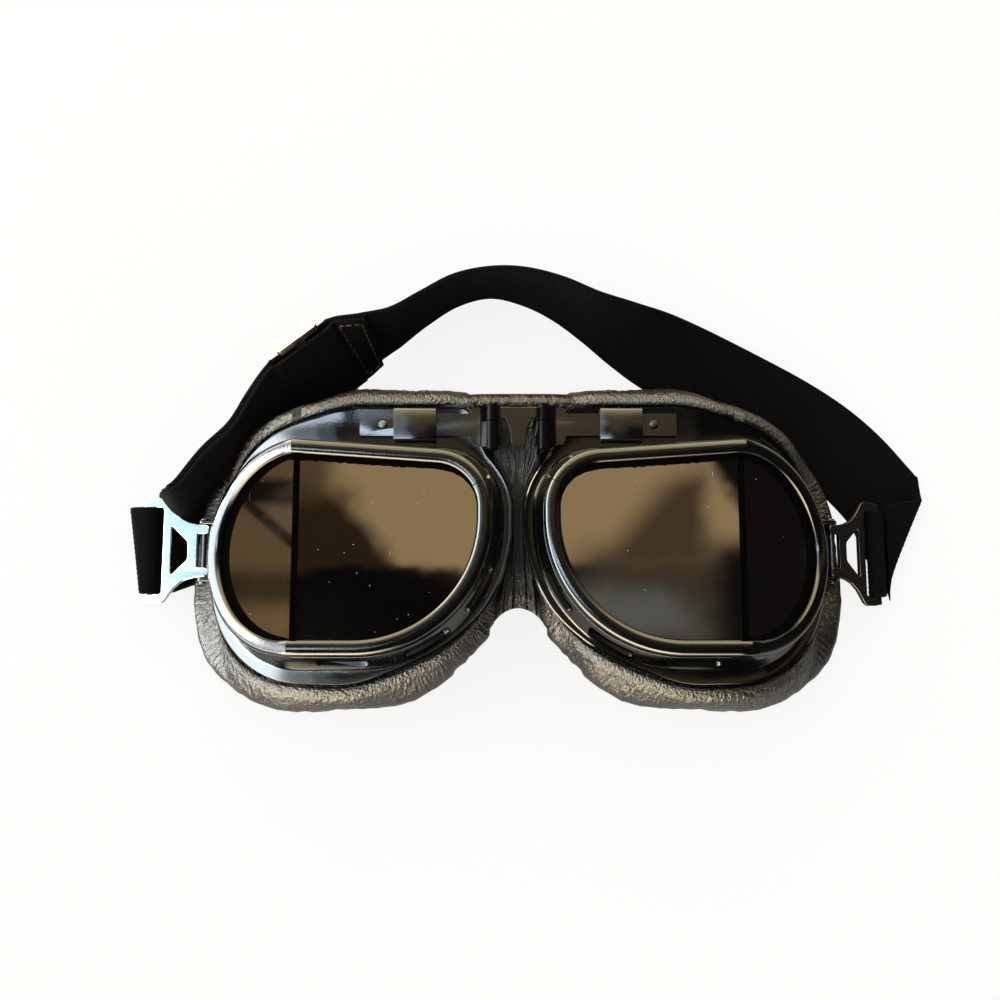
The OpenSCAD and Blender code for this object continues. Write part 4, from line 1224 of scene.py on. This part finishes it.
# %% room directions
RIPPLE = 0.035
coords = w.node("ShaderNodeTexCoord").outputs["Generated"]
axes = w.node("ShaderNodeSeparateXYZ")
w.link(coords, axes.inputs[0])
x, y, z = (axes.outputs[i] for i in range(3))
up = w.math("MAXIMUM", z, 0.04)
ripple = w.node("ShaderNodeTexNoise", Scale=22, Detail=3)
w.link(coords, ripple.inputs["Vector"])
drift = w.math("MULTIPLY", w.math("SUBTRACT", ripple.outputs["Fac"], 0.5), RIPPLE)
u = w.math("ADD", w.math("DIVIDE", x, up), drift)
v = w.math("ADD", w.math("DIVIDE", y, up), drift)
print("room directions ready")

# %% [markdown]
# Each patch is a product of soft steps, and each is laid over the last one like a sheet of tinted paper. The
# order is: dark ceiling, tan field, the shapes over the left lens, those over the right lens, then windows.

# %% ceiling over the lenses
room = lay((0.010, 0.009, 0.008), (0.62, 0.45, 0.24), rise(v, 0.118, 0.13), rise(v, 0.42, 0.30))
left_lens, right_lens = rise(u, 0.02, 0.0), rise(u, 0.0, 0.02)
room = lay(room, (0.045, 0.028, 0.013), left_lens, rise(plane((1.0, u), (0.62, v)), 0.012, -0.018),
           rise(v, 0.23, 0.215))
room = lay(room, (0.17, 0.115, 0.055), left_lens, rise(u, -0.120, -0.135), rise(v, 0.17, 0.20),
           rise(v, 0.23, 0.215))
room = lay(room, (0.004, 0.004, 0.004), left_lens, rise(v, 0.128, 0.118))
room = lay(room, (0.09, 0.075, 0.055), right_lens, rise(v, 0.150, 0.118), rise(u, 0.03, 0.08))
room = lay(room, (0.21, 0.22, 0.22), right_lens, rise(v, 0.118, 0.09), rise(v, 0.055, 0.085),
           rise(plane((1.0, u), (0.5, v)), 0.215, 0.16))
room = lay(room, (0.13, 0.09, 0.052), right_lens, rise(plane((1.0, u), (-0.85, v)), -0.055, -0.015),
           rise(u, 0.172, 0.145), rise(v, 0.215, 0.185), rise(v, 0.10, 0.14))
room = lay(room, (0.01, 0.009, 0.008), right_lens, rise(u, 0.150, 0.175), rise(v, 0.16, 0.13))
room = lay(room, (0.01, 0.009, 0.008), right_lens, rise(plane((1.0, u), (0.9, v)), 0.335, 0.355),
           rise(v, 0.235, 0.225))
print("ceiling painted")

# %% windows
westward = w.math("MAXIMUM", plane((-0.80, x), (-0.60, y)), plane((-0.90, x), (0.30, y)))
west = rise(westward, 0.25, 0.66)
daylight = lay((17.0, 19.5, 21.0), (32.0, 34.0, 35.0), rise(z, 0.30, 0.12))
daylight = lay(daylight, (24.0, 20.5, 14.0), rise(y, -0.25, -0.6))
daylight = lay(daylight, (22.0, 19.5, 13.5), rise(y, 0.25, 0.5))
room = lay(room, daylight, west, rise(z, 0.80, 0.52))
room = lay(room, (1.05, 1.45, 1.55), rise(w.math("DIVIDE", x, up), -0.19, -0.27), rise(z, 0.55, 0.8))
room = lay(room, (6.5, 5.7, 3.3), rise(y, 0.31, 0.48), rise(z, 0.05, 0.15), rise(x, -0.70, -0.45),
           rise(x, 0.70, 0.45))
overhead = rise(z, 0.60, 0.80)
room = lay(room, (10.0, 12.0, 14.0), overhead, rise(v, 0.062, 0.045), rise(v, -0.12, -0.04),
           rise(u, -0.07, -0.16))
room = lay(room, (1.8, 2.0, 2.2), overhead, rise(v, 0.212, 0.232), rise(v, 0.36, 0.28), rise(u, -0.11, -0.24))
print("windows painted")

# %% walls beside the goggles
leftward = w.math("MAXIMUM", w.math("MULTIPLY", x, -1.0), 0.2)
wall_up, wall_out = w.math("DIVIDE", y, leftward), w.math("DIVIDE", z, leftward)
wall = lay((0.30, 0.19, 0.085), (0.07, 0.045, 0.02), rise(wall_up, 0.085, 0.105))
wall = lay(wall, (0.22, 0.14, 0.065), rise(wall_up, 0.112, 0.128))
wall = lay(wall, (0.012, 0.009, 0.006), rise(wall_up, 0.165, 0.175), rise(wall_up, 0.195, 0.185))
arc = w.math("ABSOLUTE", w.math("SUBTRACT", plane((1.0, wall_up), (0.85, wall_out)), 0.158))
wall = lay(wall, (0.015, 0.011, 0.007), rise(arc, 0.007, 0.003), rise(wall_up, 0.12, 0.135))
room = lay(room, wall, rise(z, 0.05, 0.04), rise(z, -0.055, -0.045), rise(x, -0.75, -0.85))
room = lay(room, (0.85, 0.84, 0.82), rise(z, -0.05, -0.12), rise(x, 0.75, 0.55))
print("room painted with", len(w.tree.nodes), "nodes")

# %% [markdown]
# The same world does three jobs. The camera sees plain white, diffuse light comes evenly from a pale sky, and
# only mirror-like rays see the painted room.

# %% three worlds in one
SKY, SKY_STRENGTH = (1.0, 0.985, 0.955, 1), 0.8

def glow(strength, **inputs):
    return w.node("ShaderNodeBackground", Strength=strength, **inputs)

sky, painted, plain = glow(SKY_STRENGTH, Color=SKY), glow(1.0), glow(1.0, Color=(1, 1, 1, 1))
w.link(room, painted.inputs["Color"])
ray = w.node("ShaderNodeLightPath")
lit = w.mix(ray.outputs["Is Glossy Ray"], sky.outputs[0], painted.outputs[0])
seen = w.mix(ray.outputs["Is Camera Ray"], lit, plain.outputs[0])
w.link(seen, w.node("ShaderNodeOutputWorld").inputs["Surface"])
print("world ready")

# %% [markdown]
# ## Lights
# Two soft window lights give the table its faint shadows: a cool one from the left and a warm one from
# behind. They are weak, because the painted room already draws the highlights.

# %% lights
LIT_POINT = Vector((0, 0, 0.02))

def window(name, at, size, power, color):
    data = bpy.data.lights.new(name, "AREA")
    data.shape = "RECTANGLE"
    data.size, data.size_y = size
    data.energy = power
    data.color = color
    lamp = bpy.data.objects.new(name, data)
    lamp.location = at
    lamp.rotation_euler = (LIT_POINT - Vector(at)).to_track_quat("-Z", "Y").to_euler()
    put(lamp)

window("left window", (-0.85, 0.15, 0.75), (0.7, 0.8), 3.0, (0.93, 0.97, 1.0))
window("back window", (-0.05, 0.95, 0.65), (1.1, 0.45), 2.5, (1.0, 0.93, 0.82))
print("lights ready")

# %% [markdown]
# ## View
# The picture uses the Standard view transform.

# %% finish
bpy.context.scene.view_settings.view_transform = "Standard"
bpy.context.view_layer.update()
